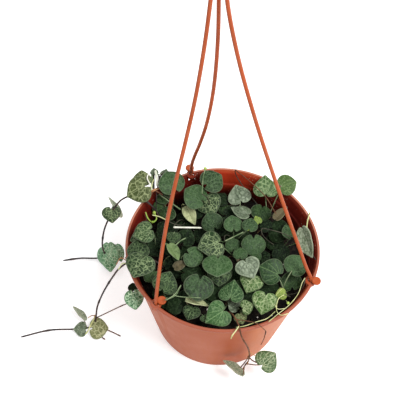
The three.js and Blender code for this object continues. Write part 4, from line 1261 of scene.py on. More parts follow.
def add_undergrowth(beds, draw):
    """Adds dark low leaves where the soil would show, each to the stem whose leaves lie nearest."""
    middles = [np.mean([row[1:3] for row in rows], axis=0) for rows, _ in beds.values()]
    for i in range(UNDERGROWTH_TRIES):
        r = UNDERGROWTH_REACH * sqrt((i + 0.5) / UNDERGROWTH_TRIES)
        x = UNDERGROWTH_CENTRE[0] + r * cos(GOLDEN_TURN * i) + draw(*UNDERGROWTH_SHIFT)
        y = UNDERGROWTH_CENTRE[1] + r * sin(GOLDEN_TURN * i) + draw(*UNDERGROWTH_SHIFT)
        width, heading = draw(*UNDERGROWTH_WIDTH), draw(0, 360)
        rows = [row for leaves, _ in beds.values() for row in leaves]
        covered = any(hypot(row[1] - x, row[2] - y) < COVERED_SHARE * row[3] for row in rows)
        if y < UNDERGROWTH_FRONT or covered:
            continue
        nearest = int(np.argmin([hypot(mx - x, my - y) for mx, my in middles]))
        list(beds.values())[nearest][0].append(("dark", x, y, width, heading, 0))


# %% Stems and their leaves
SEED = 23
TIER_BASE = [74.5, 77.5, 80, 84, 88, 93]  # the height at which each tier's leaves start
DRAWN_LEAN = (-12, 10)
DRAWN_ROLL = (-12, 12)


def leafy_stem(name, rows, runners, draw):
    """A stem in the soil. A leaf draws its lean and roll even where its row gives them."""
    leaves = []
    for kind, x, y, width, heading, tier, *posed in rows:
        lean, roll = draw(*DRAWN_LEAN), draw(*DRAWN_ROLL)
        if posed:
            lean, roll = posed
        leaves.append(Leaf(kind, slide_to(x, y, TIER_BASE[tier]), width, heading, lean, roll, tier))
    bare = [np.array([slide_to(x, y, height) for x, y in places]) for height, *places in runners]
    return Stem(f"leafy_stem_{name}", False, leaves, bare)


def trailing_stem(name, path, twigs, leaves):
    """A stem that goes over the rim, with every place given."""
    made = [Leaf(kind, (x, y, z), *rest) for kind, x, y, z, *rest in leaves]
    bare = [np.array(points, float) for points in [path, *twigs]]
    return Stem(f"trailing_stem_{name}", True, made, bare, np.array(path[0], float))


draw = draws(SEED)
beds = {name: (list(rows), runners) for name, (rows, runners) in LEAFY_STEMS.items()}
add_undergrowth(beds, draw)
trailing_stems = [trailing_stem(name, **parts) for name, parts in TRAILING_STEMS.items()]
leafy_stems = [leafy_stem(name, rows, runners, draw) for name, (rows, runners) in beds.items()]
plant = trailing_stems + leafy_stems
print("leaves:", sum(len(stem.leaves) for stem in plant))

# %% Room for the leaves
STACK_GAP = 1.7  # how far a leaf's upper face lies over that of a leaf below it
STICK_GAP = 1.4  # from a blade to a stem or stalk that isn't its own
STALK_GAP = 1.6  # between the middle lines of two stems or stalks
CLIMB = 0.5  # of one try
MOST_CLIMBS = 80
POT_ROOM = 0.9  # from the pot to a leaf or stalk, and from the soil to a stalk
SOIL_ROOM = 1.6  # from the soil to a leaf
BLADE_ROOM = 0.8  # how far past its outline a blade still counts
STEM_RADIUS = 0.75
SAMPLES_PER_POINT = 6


def in_pot(points, room):
    """Which points are in the pot's wall or lip, with room to spare."""
    r, z = np.hypot(points[..., 0], points[..., 1]), points[..., 2]
    inside = np.where(z < STEP_Z, inner_wall(z), outer_wall(z) - WALL)
    outside = np.where(z > LIP_BASE - room, RIM_RADIUS, outer_wall(z))
    return (z <= POT_HEIGHT + room + STEM_RADIUS) & (r > inside - room) & (r < outside + room)


def in_soil(points, room):
    """Which points are in the soil or nearer to it than the room."""
    x, y, z = np.moveaxis(points, -1, 0)
    return (np.hypot(x, y) < inner_wall(SOIL_TOP)) & (z < soil_height(x, y) + room)


def lies_clear(leaf, lower, stems):
    """Whether a leaf lies clear of pot, soil, trailing stems and the leaves that settled before."""
    samples = leaf.samples()
    if in_pot(samples, POT_ROOM).any() or in_soil(samples, SOIL_ROOM).any():
        return False
    heights = leaf.height_over(stems, STEM_RADIUS)
    if (np.abs(heights + BLADE_THICKNESS / 2) < 2 * STEM_RADIUS).any():
        return False
    for other, other_samples in lower:
        if np.linalg.norm(leaf.centre - other.centre) > leaf.width + other.width:
            continue
        if (other.height_over(samples, BLADE_ROOM) < STACK_GAP).any():
            return False
        if (leaf.height_over(other_samples, BLADE_ROOM) > -STACK_GAP).any():
            return False
    return True


def samples_along(points):
    """Points to test along a stem."""
    return spline(points, SAMPLES_PER_POINT * len(points))


trails = np.vstack([samples_along(points) for stem in trailing_stems for points in stem.bare])
settled = [(leaf, leaf.samples()) for stem in trailing_stems for leaf in stem.leaves]
loose = [leaf for stem in leafy_stems for leaf in stem.leaves]
for tier in range(len(TIER_BASE)):
    for leaf in [one for one in loose if one.tier == tier]:
        for _ in range(MOST_CLIMBS):
            if lies_clear(leaf, settled, trails):
                break
            leaf.centre = leaf.centre + LIGHT * CLIMB
        settled.append((leaf, leaf.samples()))
blades = [leaf for leaf, _ in settled]
print("highest leaf:", round(max(leaf.centre[2] for leaf in blades), 1), "mm")

# %% [markdown]
# ## Roots and stalks
#
# Each leafy stem has a small tuber on the soil under the middle of its leaves. A stalk runs from
# the tuber to each leaf's notch and has to bend round the leaves on its way. It could be drawn by
# hand, but there are more than a hundred. So each one tries a list of bends, small ones first, and
# takes the first that passes clear of everything, or else the clearest.

# %% Runners and roots
RUNNER_SAMPLES = 4  # for each of its points
RUNNER_ROOM = 1.1  # from the pot
RUNNER_DEPTH = 3 * STICK_GAP  # a runner that lies deeper than this under a blade stays there
ROOT_SPACING = 5
ROOT_REACH = 50  # how far from the middle the search for a root's place may start
ROOT_LIMIT = ROOT_REACH + 1
ROOT_TRIES = 60
ROOT_STEP = 1.5
STEM_CHECKS = [0.3, 0.6, 1]  # shares of the way from foot to tuber that are tested
STEM_IN_SOIL = 5
TUBER_RADIUS = 1.5


def lift_runner(points):
    """Raises a runner over the leaves in its way, and gives points along it."""
    samples = spline(points, RUNNER_SAMPLES * len(points))
    for _ in range(MOST_CLIMBS):
        heights = np.array([leaf.height_over(samples, BLADE_ROOM) for leaf in blades])
        meets = (heights < STICK_GAP) & (heights > -RUNNER_DEPTH)
        if not in_pot(samples, RUNNER_ROOM).any() and not meets.any():
            break
        samples = samples + LIGHT * CLIMB
        points += LIGHT * CLIMB
    return samples


def stem_ends(root):
    """A stem's foot in the soil and the middle of its tuber."""
    x, y = root[:2]
    ground = soil_height(x, y)
    return np.array([[x, y, ground - STEM_IN_SOIL], [x, y, ground + TUBER_RADIUS + CLEARANCE]])


def find_root(leaves, roots):
    """A free place for a tuber, tried in a spiral that starts under the middle of the leaves."""
    middle = np.mean([leaf.notch() for leaf in leaves], axis=0) * [1, 1, 0]
    middle *= min(1, ROOT_REACH / np.linalg.norm(middle))
    for i in range(ROOT_TRIES):
        turn = GOLDEN_TURN * i
        root = middle + ROOT_STEP * sqrt(i) * np.array([cos(turn), sin(turn), 0])
        foot, crown = stem_ends(root)
        checks = np.array([foot + (crown - foot) * share for share in STEM_CHECKS])
        heights = np.array([leaf.height_over(checks, BLADE_ROOM) for leaf in blades])
        free = all(hypot(*(root - other)[:2]) > ROOT_SPACING for other in roots)
        open_way = not (np.abs(heights) <= STICK_GAP + BLADE_ROOM).any()
        if free and open_way and np.linalg.norm(root) < ROOT_LIMIT:
            return root
    raise ValueError("no room for a stem")


roots = [stem.root for stem in trailing_stems]
for stem in trailing_stems:
    stem.sticks = [samples_along(points) for points in stem.bare]
for stem in leafy_stems:
    stem.sticks = [lift_runner(points) for points in stem.bare]
    stem.root = find_root(stem.leaves, roots)
    roots.append(stem.root)
    stem.sticks.append(stem_ends(stem.root))
print("roots:", len(roots))

# %% Bends that a stalk tries
STALK_STEPS = 3  # a stalk is tested as this many straight steps
STEP_SAMPLES = 5
LENGTH_GRID = 17  # points for measuring its length
REACHES = [3, 6, 10, 15]  # how far from the notch the upper handle of its curve lies
TURNS = [0, 35, -35, 70, -70, 110, -110, 150, -150]  # degrees, from straight away from the tip
DROPS = [2, 4, 7, 11]  # how far that handle lies under the blade
LIFTS = [1, 4, 8]  # how far the lower handle lies over the foot


def straight_steps(bends):
    """Sample points along the straight steps of many curves at once."""
    grid = np.linspace(0, 1, LENGTH_GRID)
    handles = [bends[:, k, None, :] for k in range(4)]
    lengths = np.linalg.norm(np.diff(bezier(handles, grid[None]), axis=1), axis=2)
    walked = np.hstack([np.zeros((len(bends), 1)), np.cumsum(lengths, axis=1)])
    shares = [np.interp(np.linspace(0, way[-1], STALK_STEPS + 1), way, grid) for way in walked]
    joints = bezier(handles, np.array(shares))
    steps = np.arange(1, STALK_STEPS * STEP_SAMPLES + 1)
    first = np.minimum(steps // STEP_SAMPLES, STALK_STEPS - 1)
    rest = (steps / STEP_SAMPLES - first)[None, :, None]
    return joints[:, first] * (1 - rest) + joints[:, first + 1] * rest


def crossings(points, others, sticks):
    """For each curve, how many of its points come too near to something."""
    hits = in_pot(points, POT_ROOM) | in_soil(points, POT_ROOM)
    low, high = points.min((0, 1)), points.max((0, 1))
    for leaf in others:
        if (leaf.centre < low - leaf.width).any() or (leaf.centre > high + leaf.width).any():
            continue
        height = leaf.height_over(points, BLADE_ROOM)
        hits |= (height < STICK_GAP) & (height > -BLADE_THICKNESS - STICK_GAP)
    near = sticks[((sticks > low - STALK_GAP) & (sticks < high + STALK_GAP)).all(1)]
    for stick in near:
        hits |= ((points - stick) ** 2).sum(-1) < STALK_GAP**2
    return hits.sum(1)


def route_stalk(foot, end, backwards, normal, others, sticks):
    """The first bend that passes clear, or the clearest: its near points, handles and points."""
    best = None
    for reach in REACHES:
        handles = []
        for turn in TURNS:
            sideways = around(normal, radians(turn)) @ backwards
            for drop in DROPS:
                high = end + sideways * reach - normal * drop
                handles += [(foot, foot + np.array([0, 0, lift]), high, end) for lift in LIFTS]
        handles = np.array(handles)
        points = straight_steps(handles)
        counts = crossings(points, others, sticks)
        i = int(np.argmin(counts))
        if best is None or counts[i] < best[0]:
            best = (counts[i], handles[i], points[i])
        if best[0] == 0:
            break
    return best


# %% Growing the stalks
STEPS_PER_POINT = 1.5  # a stalk may spring from this many places for each of a trail's points
HOLD_SHARE = 0.07  # it ends this share of the width past the notch
HOLD_DEPTH = 0.55  # and this deep in the blade
UPWARDS = np.array([0.0, 0, 1])


def foot_of_stalk(stem, end):
    """Where on its stem a stalk springs."""
    if stem.trailing:
        counts = [int(STEPS_PER_POINT * len(points) + 0.5) for points in stem.bare]
        joints = [spline(points, count)[1:-1] for points, count in zip(stem.bare, counts)]
        joints = np.vstack(joints)
        return joints[np.argmin(np.linalg.norm(joints - end, axis=1))]
    crown = stem_ends(stem.root)[1]
    aside = (end - crown) * [1, 1, 0]
    return crown + aside * TUBER_RADIUS / 2 / np.linalg.norm(aside)


def grow_stalks(stem):
    """Finds the bends of a stem's stalks, and gives how many of them are short of room."""
    sticks = np.vstack([part for other in plant if other is not stem for part in other.sticks])
    grown = []
    for leaf in stem.leaves:
        others = [other for other in blades if other is not leaf]
        foot = foot_of_stalk(stem, leaf.notch(0, BLADE_THICKNESS / 2))
        end = leaf.notch(HOLD_SHARE, HOLD_DEPTH)
        grown.append(route_stalk(foot, end, -leaf.along, leaf.normal, others, sticks))
    if not stem.trailing:
        for points in stem.bare:
            end, backwards = points[0], points[0] - points[1]
            backwards = backwards / np.linalg.norm(backwards)
            foot = foot_of_stalk(stem, end)
            grown.append(route_stalk(foot, end, backwards, UPWARDS, blades, sticks))
    for _, handles, points in grown:
        stem.bends.append(handles)
        stem.sticks.append(points)
    return sum(count > 0 for count, _, _ in grown)


tight = sum(grow_stalks(stem) for stem in plant)
print("stalks:", sum(len(stem.bends) for stem in plant), "of which short of room:", tight)

# %% [markdown]
# ## Leaf skins
#
# The upper face is dark green and waxy. Veins fan out from the notch and arch towards the tip. On
# many leaves a pale net lies over the green, and leaves dark islands between its threads. The veins
# come from the angle round the notch, and the net from the edges of Voronoi cells, bent a little by
# noise. Each leaf carries its own random number into the third direction of that noise, so no two
# leaves have the same net.

# %% Veins and nets
VEIN_SPACING = 0.62  # radians between two side veins, where they leave the notch
VEIN_BEND = 0.9  # how fast they arch towards the tip
NOTCH_SPOT = 0.03  # they start this far before the notch, in widths
LEAF_CLOUDS, LEAF_FLECKS, LEAF_GRAIN = 3.2, 13.0, 26.0  # how many go into a width
BETWEEN_LEAVES = 40.0  # how far apart in the noise two leaves lie
MAIN_VEIN = (0.004, 0.024)  # half widths where a vein is full and where it ends, in widths
SIDE_VEIN = (0.002, 0.024)
NET_START = 0.02
NET_BEND = 0.12
WAX_RELIEF = 0.0006  # metres


def leaf_coordinates(finish):
    """Where a point is on its leaf, in widths from the notch, and how near to the outline."""
    place = finish.node("Attribute", {"attribute_name": "leaf_place"}, {}, 1)
    rim = finish.node("Attribute", {"attribute_name": "leaf_rim"}, {}, 2)
    return place, rim


def vein_gap(finish, along, across):
    """How far a point is from the nearest side vein, in widths."""
    turn = finish.node("Math", {"operation": "ARCTAN2"}, {0: across, 1: along + NOTCH_SPOT})
    reach = finish.node("Math", {"operation": "SQRT"}, {0: along * along + across * across})
    arched = turn * (1 + VEIN_BEND * reach)
    return finish.node("Math", {"operation": "PINGPONG"}, {0: arched, 1: VEIN_SPACING / 2}) * reach


def silver_net(finish, spot, edge, fine, cells, thread):
    """The threads of the net, and how much of them shows."""
    bent = finish.node("TexNoise", {}, {"Vector": spot, "Scale": 5.0, "Detail": 2.0}, 1)
    warped = finish.node("Mix", {"data_type": "VECTOR"}, {0: NET_BEND, 4: spot, 5: bent}, 1)
    inputs = {"Vector": warped, "Scale": cells, "Randomness": 0.85}
    gap = finish.node("TexVoronoi", {"feature": "DISTANCE_TO_EDGE"}, inputs)
    threads = 1 - finish.slope(gap, NET_START, thread)
    patches = finish.slope(finish.noise(spot, 2.1, 1.0), 0.3, 0.55)
    inner = 1 - finish.slope(edge, 0.8, 0.97)
    return threads, threads * (0.4 + 0.6 * patches) * inner * (0.7 + 0.6 * fine)


# %% A leaf's skin
def leaf_skin(
    name, deep, fresh, vein, veins,
    net=None, nets=0.0, cells=6.0, thread=0.12, rim=0.45, mottle=0.3, gloss=0.2,
):
    """A leaf's upper face.

    It has two greens, a vein colour and strength, a net's colour, strength, cells a width and
    threads' width, and how strong its painted edge highlight, flecks and gloss are.
    """
    finish = Finish(name, specular_ior_level=gloss)
    deep, fresh, vein = [paint(code) for code in (deep, fresh, vein)]
    place, edge = leaf_coordinates(finish)
    along, aside, own = [finish.part(place, axis) for axis in "XYZ"]
    across = abs(aside)
    spot = finish.node("CombineXYZ", {}, {0: along, 1: aside, 2: own * BETWEEN_LEAVES})
    clouds = finish.noise(spot, LEAF_CLOUDS, 3.0)
    fine = finish.noise(spot, LEAF_GRAIN, 3.0)
    flecks = finish.slope(finish.noise(spot, LEAF_FLECKS, 3.0), 0.47, 0.66)
    colour = finish.blend(finish.slope(clouds + 0.35 * (own - 0.5), 0.34, 0.68), deep, fresh)
    colour = finish.blend(flecks * mottle, colour, vein)
    main = 1 - finish.slope(across, *MAIN_VEIN)
    side = 1 - finish.slope(vein_gap(finish, along, across), *SIDE_VEIN)
    side = side * finish.slope(across, 0.0, 0.05) * (1 - finish.slope(edge, 0.7, 0.95))
    lines = finish.node("Math", {"operation": "MAXIMUM"}, {0: main, 1: 0.75 * side})
    height = 0.4 * fine + 0.3 * flecks - 0.5 * lines
    if net:
        threads, shown = silver_net(finish, spot, edge, fine, cells, thread)
        colour = finish.blend(shown * nets, colour, paint(net))
        height = height + 0.5 * threads
    colour = finish.blend(lines * veins * (0.5 + 0.8 * fine), colour, vein)
    # A pale line along the outline is a painted highlight on the leaf's rounded edge
    pale = finish.blend(0.45, fresh, PAINTED_EDGE_HIGHLIGHT)
    colour = finish.blend(finish.slope(edge, 0.9, 1.0) * rim, colour, pale)
    finish.set(base_color=colour, roughness=0.36 + 0.25 * fine)
    finish.bump(height, 0.45, WAX_RELIEF)
    return finish


# %% The skin of each kind
# The colour of the painted highlight along each leaf's edge
PAINTED_EDGE_HIGHLIGHT = paint("#aab596")
LEAF_LOOKS = {  # what leaf_skin takes: the greens, the veins and, where there is one, the net
    "plain": ("#1a3014", "#2a4621", "#5d7650", 0.3, "#5d7650", 0.4, 7.0),
    "fresh": ("#38521f", "#4f6c31", "#93a872", 0.3),
    "deep": ("#10210d", "#213919", "#557049", 0.3, "#557049", 0.3, 7.0),
    # The low leaves' near-black is painted shade, as dark as the gaps between the leaves
    "dark": ("#0b150a", "#152310", "#43583a", 0.1),
    "shade": ("#182b12", "#2b411f", "#5d7650", 0.25),
    "striped": ("#142810", "#203a1b", "#6f8a5a", 0.6),
    "net": ("#162c11", "#26421e", "#8b9d70", 0.4, "#8b9d70", 0.75, 8.0, 0.09),
    "dusky": ("#12230f", "#1e3519", "#667b53", 0.35, "#667b53", 0.65, 7.5, 0.09),
    "sage": ("#3b552f", "#536e42", "#b9c6a0", 0.6, "#b3c09a", 0.6, 5.0, 0.07),
    "olive": ("#38431d", "#4c582b", "#959d70", 0.5, "#959d70", 0.75, 5.5),
    "straw": ("#545936", "#6c7046", "#b8b98e", 0.5, "#b8b98e", 0.8, 5.5),
    "bright": ("#2c4818", "#45642d", "#a6b486", 0.5, "#a6b486", 0.8, 6.5),
    "moss": ("#2f4b1f", "#46652f", "#9bae80", 0.5, "#9bae80", 0.45, 5.0),
    "veined": ("#213e1d", "#315329", "#83a06e", 0.55, "#5f7a52", 0.4, 6.5),
    "grey": ("#526048", "#85917a", "#9fab93", 0.3, "#34402d", 0.75, 7.5, 0.28),
    "lime": ("#5a7229", "#81953f", "#b2c07c", 0.5, "#4d6a26", 0.35, 5.0),
    "cream": ("#949a70", "#b4b98c", "#5f7245", 0.5),
    "brown": ("#3d3825", "#585037", "#766d50", 0.4),
    "silver": ("#3d7046", "#78ab80", "#c4e4bf", 0.5, "#c4e4bf", 0.95, 6.5),
    "mint": ("#2c5032", "#456e49", "#c2dfba", 0.5, "#c2dfba", 1.0, 6.5),
    "folded": ("#66745a", "#97a188", "#bcc4ac", 0.5, "#47573b", 0.7, 7.0, 0.25),
    "celery": ("#42562f", "#5f7445", "#8fa073", 0.4),
}
LEAF_TRIM = {  # where the edge, the flecks or the gloss aren't the usual ones
    "dark": {"rim": 0.1, "gloss": 0.05},
    "shade": {"gloss": 0.1},
    "striped": {"mottle": 0.2},
    "net": {"mottle": 0.2},
    "dusky": {"gloss": 0.12},
}
SKINS = {}
for kind, look in LEAF_LOOKS.items():
    SKINS[kind] = leaf_skin(f"leaf_{kind}", *look, **LEAF_TRIM.get(kind, {}))
print("leaf skins:", ", ".join(SKINS))


# %% Undersides, stalks and stems
STALK_SPOTS = 180.0  # in a metre


def leaf_back():
    """The purple underside, paler along its veins."""
    finish = Finish("leaf_back", roughness=0.6)
    place, edge = leaf_coordinates(finish)
    along, across = finish.part(place, "X"), abs(finish.part(place, "Y"))
    clouds = finish.noise(place, 4.0, 3.0)
    colour = finish.blend(finish.slope(clouds, 0.35, 0.65), paint("#6d4a5a"), paint("#7f7f68"))
    side = 1 - finish.slope(vein_gap(finish, along, across), 0.003, 0.02)
    main = 1 - finish.slope(across, 0.005, 0.03)
    finish.set(base_color=finish.blend((main + 0.5 * side) * 0.5, colour, paint("#a9a38c")))
    finish.bump(clouds + main, 0.3, WAX_RELIEF)
    return finish


def stalk_skin(name, first, second):
    """Two colours in small spots, given by their web codes."""
    finish = Finish(name, roughness=0.65, specular_ior_level=0.1)
    spots = finish.noise(finish.place(), STALK_SPOTS, 3.0)
    colour = finish.blend(finish.slope(spots, 0.35, 0.65), paint(first), paint(second))
    finish.set(base_color=colour)
    finish.bump(spots, 0.25, SCRATCH_DEPTH)
    return finish


BACK = leaf_back()
STALK_LOOKS = {
    "stalk_green": ("#566b47", "#82906d"),
    "stalk_dark": ("#33312b", "#514f42"),
    "stalk_cream": ("#a8ad72", "#cfd09b"),
    "stalk_white": ("#c9ccb8", "#eceadd"),
    "stalk_lime": ("#7f9a3f", "#a9bd5f"),
    "stem_dark": ("#292324", "#473b38"),
    "stem_brown": ("#4a2f22", "#6f4b36"),
    "root_rust": ("#8a5a3c", "#b98d63"),
    "tuber_skin": ("#6f5b47", "#8f7c63"),
}
STALKS = {name: stalk_skin(name, *codes) for name, codes in STALK_LOOKS.items()}
print("stalk skins:", ", ".join(STALKS))

# %% [markdown]
# ## Fine leaves
#
# A fine leaf is a ring pattern: one outline of many points, shrunk in steps towards the middle,
# once for the upper face and once for the lower. Between the veins the blade is a little puffed,
# its margin waves, and near its edge the two faces round over and meet, as on a fleshy leaf.

# %% Leaf mesh
HALF_POINTS = 31
CROWDING = 1.35  # draws them closer together at the notch
HALF_STEPS = np.linspace(0, 1, HALF_POINTS) ** CROWDING
FINE_NOTCH = 0.13
TOP_RINGS = np.array([0.16, 0.32, 0.48, 0.62, 0.75, 0.86, 0.94, 0.985, 1.0])
BACK_RINGS = np.array([0.3, 0.62, 0.86, 0.96])
EDGE_START = 0.86
PUFF = 0.014  # of the width
PUFF_LEVEL = 0.6  # how much of the puffing lies over the flat blade
WAVE = 0.014
SLOW_WAVES, QUICK_WAVES = 3, 5  # how many go round the margin
QUICK_SHARE = 0.6  # of the slow waves' height
VEIN_GROOVE = 0.05


def ring_faces(count):
    """The faces of the ring pattern: the upper face's, then the lower face's."""
    tops, backs = len(TOP_RINGS), len(BACK_RINGS)
    last = 1 + (tops + backs) * count
    start = [1 + k * count for k in range(tops + backs)]
    upper, lower = [], []
    for i in range(count):
        j = (i + 1) % count
        upper.append((0, start[0] + j, start[0] + i))
        for a, b in zip(start[: tops - 1], start[1:tops]):
            upper.append((a + i, a + j, b + j, b + i))
        below = [*start[tops:], start[tops - 1]]
        lower.append((last, below[0] + i, below[0] + j))
        for a, b in zip(below, below[1:]):
            lower.append((a + j, a + i, b + i, b + j))
    return upper, lower


RING_COUNT = 2 * (len(HALF_STEPS) - 1)
UPPER_FACES, LOWER_FACES = ring_faces(RING_COUNT)


def puffed(u, v):
    """0 on a vein and 1 between veins, for places in widths from the notch."""
    reach = np.hypot(u, v)
    turn = np.arctan2(np.abs(v), u + NOTCH_SPOT) * (1 + VEIN_BEND * reach)
    off = np.abs((turn + VEIN_SPACING / 2) % VEIN_SPACING - VEIN_SPACING / 2) * reach
    return 1 - np.exp(-((np.minimum(off, np.abs(v)) / VEIN_GROOVE) ** 2))


def add_leaf(heap, leaf, own):
    """Adds a fine leaf to a heap. own is the leaf's random number, from 0 to 1."""
    outline = whole_outline(leaf.kind, HALF_STEPS, FINE_NOTCH)
    rings = np.concatenate([TOP_RINGS, BACK_RINGS])
    shares = np.concatenate([[0], np.repeat(rings, RING_COUNT), [0]])
    flat = np.vstack([[[0, 0]], *[share * outline for share in rings], [[0, 0]]])
    upper = np.arange(len(flat)) < 1 + len(TOP_RINGS) * RING_COUNT
    notch = outline_at(leaf.kind, 0)[0]
    from_notch = flat - [notch, 0]
    round_over = np.clip((shares - EDGE_START) / (1 - EDGE_START), 0, 1)
    fall = BLADE_THICKNESS / 2 * (1 - np.sqrt(1 - round_over**2))
    depth = np.where(upper, fall, BLADE_THICKNESS - fall)
    sway = np.arctan2(flat[:, 1], flat[:, 0])
    slow = np.sin(SLOW_WAVES * sway + 2 * pi * own)
    quick = np.sin(QUICK_WAVES * sway + 9 * own)
    wave = WAVE * shares**2 * slow + QUICK_SHARE * WAVE * shares**2 * quick
    lift = leaf.width * (wave + PUFF * (puffed(*from_notch.T) - PUFF_LEVEL) * (1 - round_over**2))
    corners = leaf.points(flat * leaf.width, depth - lift)
    places = np.column_stack([from_notch, np.full(len(flat), own)])
    start = heap.add(corners, UPPER_FACES, SKINS[leaf.kind], places, shares)
    heap.cover(LOWER_FACES, BACK, start)


print("faces a leaf:", len(UPPER_FACES) + len(LOWER_FACES))

# %% [markdown]
# Now each stem becomes one piece: its leaves, the stalks, the bare shoots and the tuber. Stalks are
# pale green or grey and hardly thicker than a thread. Old trailing stems are almost black and young
# ones brown, with small knots. Buds sit on some shoots, and threads lie over the leaves: old pale
# stalks, young shoots that have no leaves yet, and short rust-coloured roots that a stem grows in
# the air.

# %% Stalks, shoots and buds
STALK_SAMPLES = 16
STALK_SIDES = 7
STALK_FOOT, STALK_TIP = 0.42, 0.34
RUNNER_RADIUS = 0.4
TRAIL_RADIUS = 0.62
TWIG_RADIUS = 0.42
STALK_COLOURS = {  # of the kinds whose stalks differ from their stem's usual ones
    "dark": "stalk_dark", "lime": "stalk_lime", "cream": "stalk_cream", "grey": "stalk_green",
}
SHOOTS = {  # skin and radius of bare shoots, trails and twigs, by their stem's node and number
    "leafy_stem_back": {0: ("stalk_green", 0.32)},
    "leafy_stem_back_right": {0: ("stem_brown", 0.3)},
    "leafy_stem_left_back": {0: ("stalk_cream", 0.32), 1: ("stalk_white", 0.62)},
    "leafy_stem_left": {0: ("stalk_lime", 0.45)},
    "leafy_stem_right": {0: ("stalk_cream", 0.24), 1: ("stalk_cream", 0.22)},
    "leafy_stem_right_back": {0: ("stalk_dark", 0.28), 1: ("stalk_cream", 0.42)},
    "trailing_stem_left_back": {0: ("stem_dark", TRAIL_RADIUS), 1: ("stem_dark", 0.36)},
    "trailing_stem_left": {0: ("stem_dark", TRAIL_RADIUS)},
    "trailing_stem_front": {
        0: ("stem_brown", 0.5), 1: ("stalk_cream", 0.38), 2: ("stem_brown", 0.28),
    },
}
LYING_KNOT = (-88.4, -17.2, 9)  # where a root grows from the left trailing stem
HANGING_KNOT = (22.3, -56.2, 37)  # and where roots and shoots grow from the front one
BUDS = {  # the skin, radius and place of a bud or knot. Without a place, it ends the first shoot
    "leafy_stem_left": [("stalk_lime", 1.3, None), ("stalk_lime", 0.9, (-48.4, 15.3, 87))],
    "leafy_stem_back": [("stalk_lime", 1.2, None)],
    "leafy_stem_right": [("stalk_lime", 1, (43.1, -43.9, 92))],
    "trailing_stem_front": [("root_rust", 1, HANGING_KNOT)],
    "trailing_stem_left": [("root_rust", 1.1, LYING_KNOT)],
}
print("buds and knots:", sum(len(rows) for rows in BUDS.values()))

# %% Threads
STRANDS = {  # the skin, radius and points of threads too fine for the frame
    "trailing_stem_left_back": [
        ("root_rust", 0.5, (-55, 30, 91.5), (-52.5, 33, 94), (-50, 35.2, 96), (-47, 38, 95)),
        ("stem_brown", 0.5, (-52.7, 38.7, 95), (-47.6, 35.3, 95.5), (-42.6, 31.9, 96)),
        ("root_rust", 0.45, (-51.6, 33.3, 95.5), (-46.4, 36.7, 96), (-41.6, 37.6, 96.5)),
        ("stalk_green", 0.65, (-50.3, 36.2, 94), (-51.1, 43.1, 95), (-51.4, 49.3, 95.5)),
        ("stalk_dark", 0.65, (-49.2, 36.3, 94), (-49.8, 43.2, 95), (-50.4, 49.8, 95.5)),
        ("stalk_dark", 0.6, (-45.8, 37.5, 95), (-46.0, 43.2, 95.5), (-46.8, 48.8, 96)),
        (
            "stalk_white", 0.45, (-50, 35.2, 96), (-52.2, 39.8, 97), (-54.4, 44.1, 98),
            (-53.7, 46.4, 99), (-51.7, 44.4, 99.5),
        ),
        ("stalk_white", 0.95, (-46.9, 38.5, 97), (-47.7, 43.7, 98), (-49.3, 50.2, 99)),
        ("stalk_cream", 0.35, (-51, 34.7, 96), (-50.7, 39.9, 97), (-49.8, 44.3, 97)),
    ],
    "trailing_stem_left": [
        ("root_rust", 0.3, (-68.7, -23.4, 92), (-66, -18.6, 93), (-61.9, -20.3, 92.5)),
        ("stalk_cream", 0.3, (-67.1, -26.4, 91), (-64.3, -22.4, 93), (-60.2, -24, 92.5)),
        ("root_rust", 0.35, (-63.5, -17.4, 92.5), (-61.2, -21, 92.5), (-58.7, -25.9, 92)),
        ("root_rust", 0.35, (-93.7, -18.7, 8), (-90.9, -17, 9), LYING_KNOT),
        (
            "stalk_cream", 0.5, (-88.6, -18, 9.5), (-90.9, -26.4, 10.5), (-92.1, -30.3, 10),
            (-93.6, -32.8, 9.5),
        ),
    ],
    "trailing_stem_front": [
        (
            "stalk_cream", 0.25, (10.7, -62, 89.2), (16.3, -60.9, 89.8), (23.2, -58.1, 90.6),
            (30, -54.8, 90), (35.2, -49.4, 90),
        ),
        ("stem_brown", 0.25, (29.5, -62, 86.5), (29.2, -64, 82), (27.6, -66, 75)),
        ("stem_brown", 0.4, HANGING_KNOT, (20, -59.5, 35.5), (17.2, -62.5, 33)),
        ("root_rust", 0.3, HANGING_KNOT, (22.3, -58.4, 34.5), (21.6, -59.8, 32)),
        ("root_rust", 0.3, HANGING_KNOT, (22.4, -53, 38.5), (24.5, -54.3, 38), (27.1, -54.6, 36)),
        ("stem_brown", 0.45, HANGING_KNOT, (25, -58.5, 36.8), (28, -59.6, 36)),
    ],
    "leafy_stem_left_front": [
        ("stalk_cream", 0.3, (-60.7, -8, 90), (-59, -4.9, 89), (-57.4, -0.9, 88)),
    ],
    "leafy_stem_inner_left": [
        ("stalk_green", 0.42, (-32.2, -7.6, 93), (-28.5, -3.4, 94), (-24.8, 0.1, 93)),
    ],
    "leafy_stem_front_left": [
        ("stalk_green", 0.3, (-34.2, -49.3, 96), (-29.4, -46.1, 97), (-25.5, -38.5, 97)),
        ("stalk_green", 0.25, (-29.4, -46.1, 97), (-26.8, -46.3, 96), (-12.3, -45.3, 94)),
    ],
    "leafy_stem_right": [
        ("stalk_cream", 0.3, (43.1, -43.9, 92)),
        (
            "stalk_cream", 0.22, (38.6, -35.4, 94), (36, -38.1, 93), (34.5, -43.7, 92),
            (36.3, -47.9, 91), (41.5, -47.4, 91),
        ),
    ],
}
STRAND_ROOT = 12  # a leafy stem's thread starts this deep among the leaves
print("threads:", sum(len(rows) for rows in STRANDS.values()))

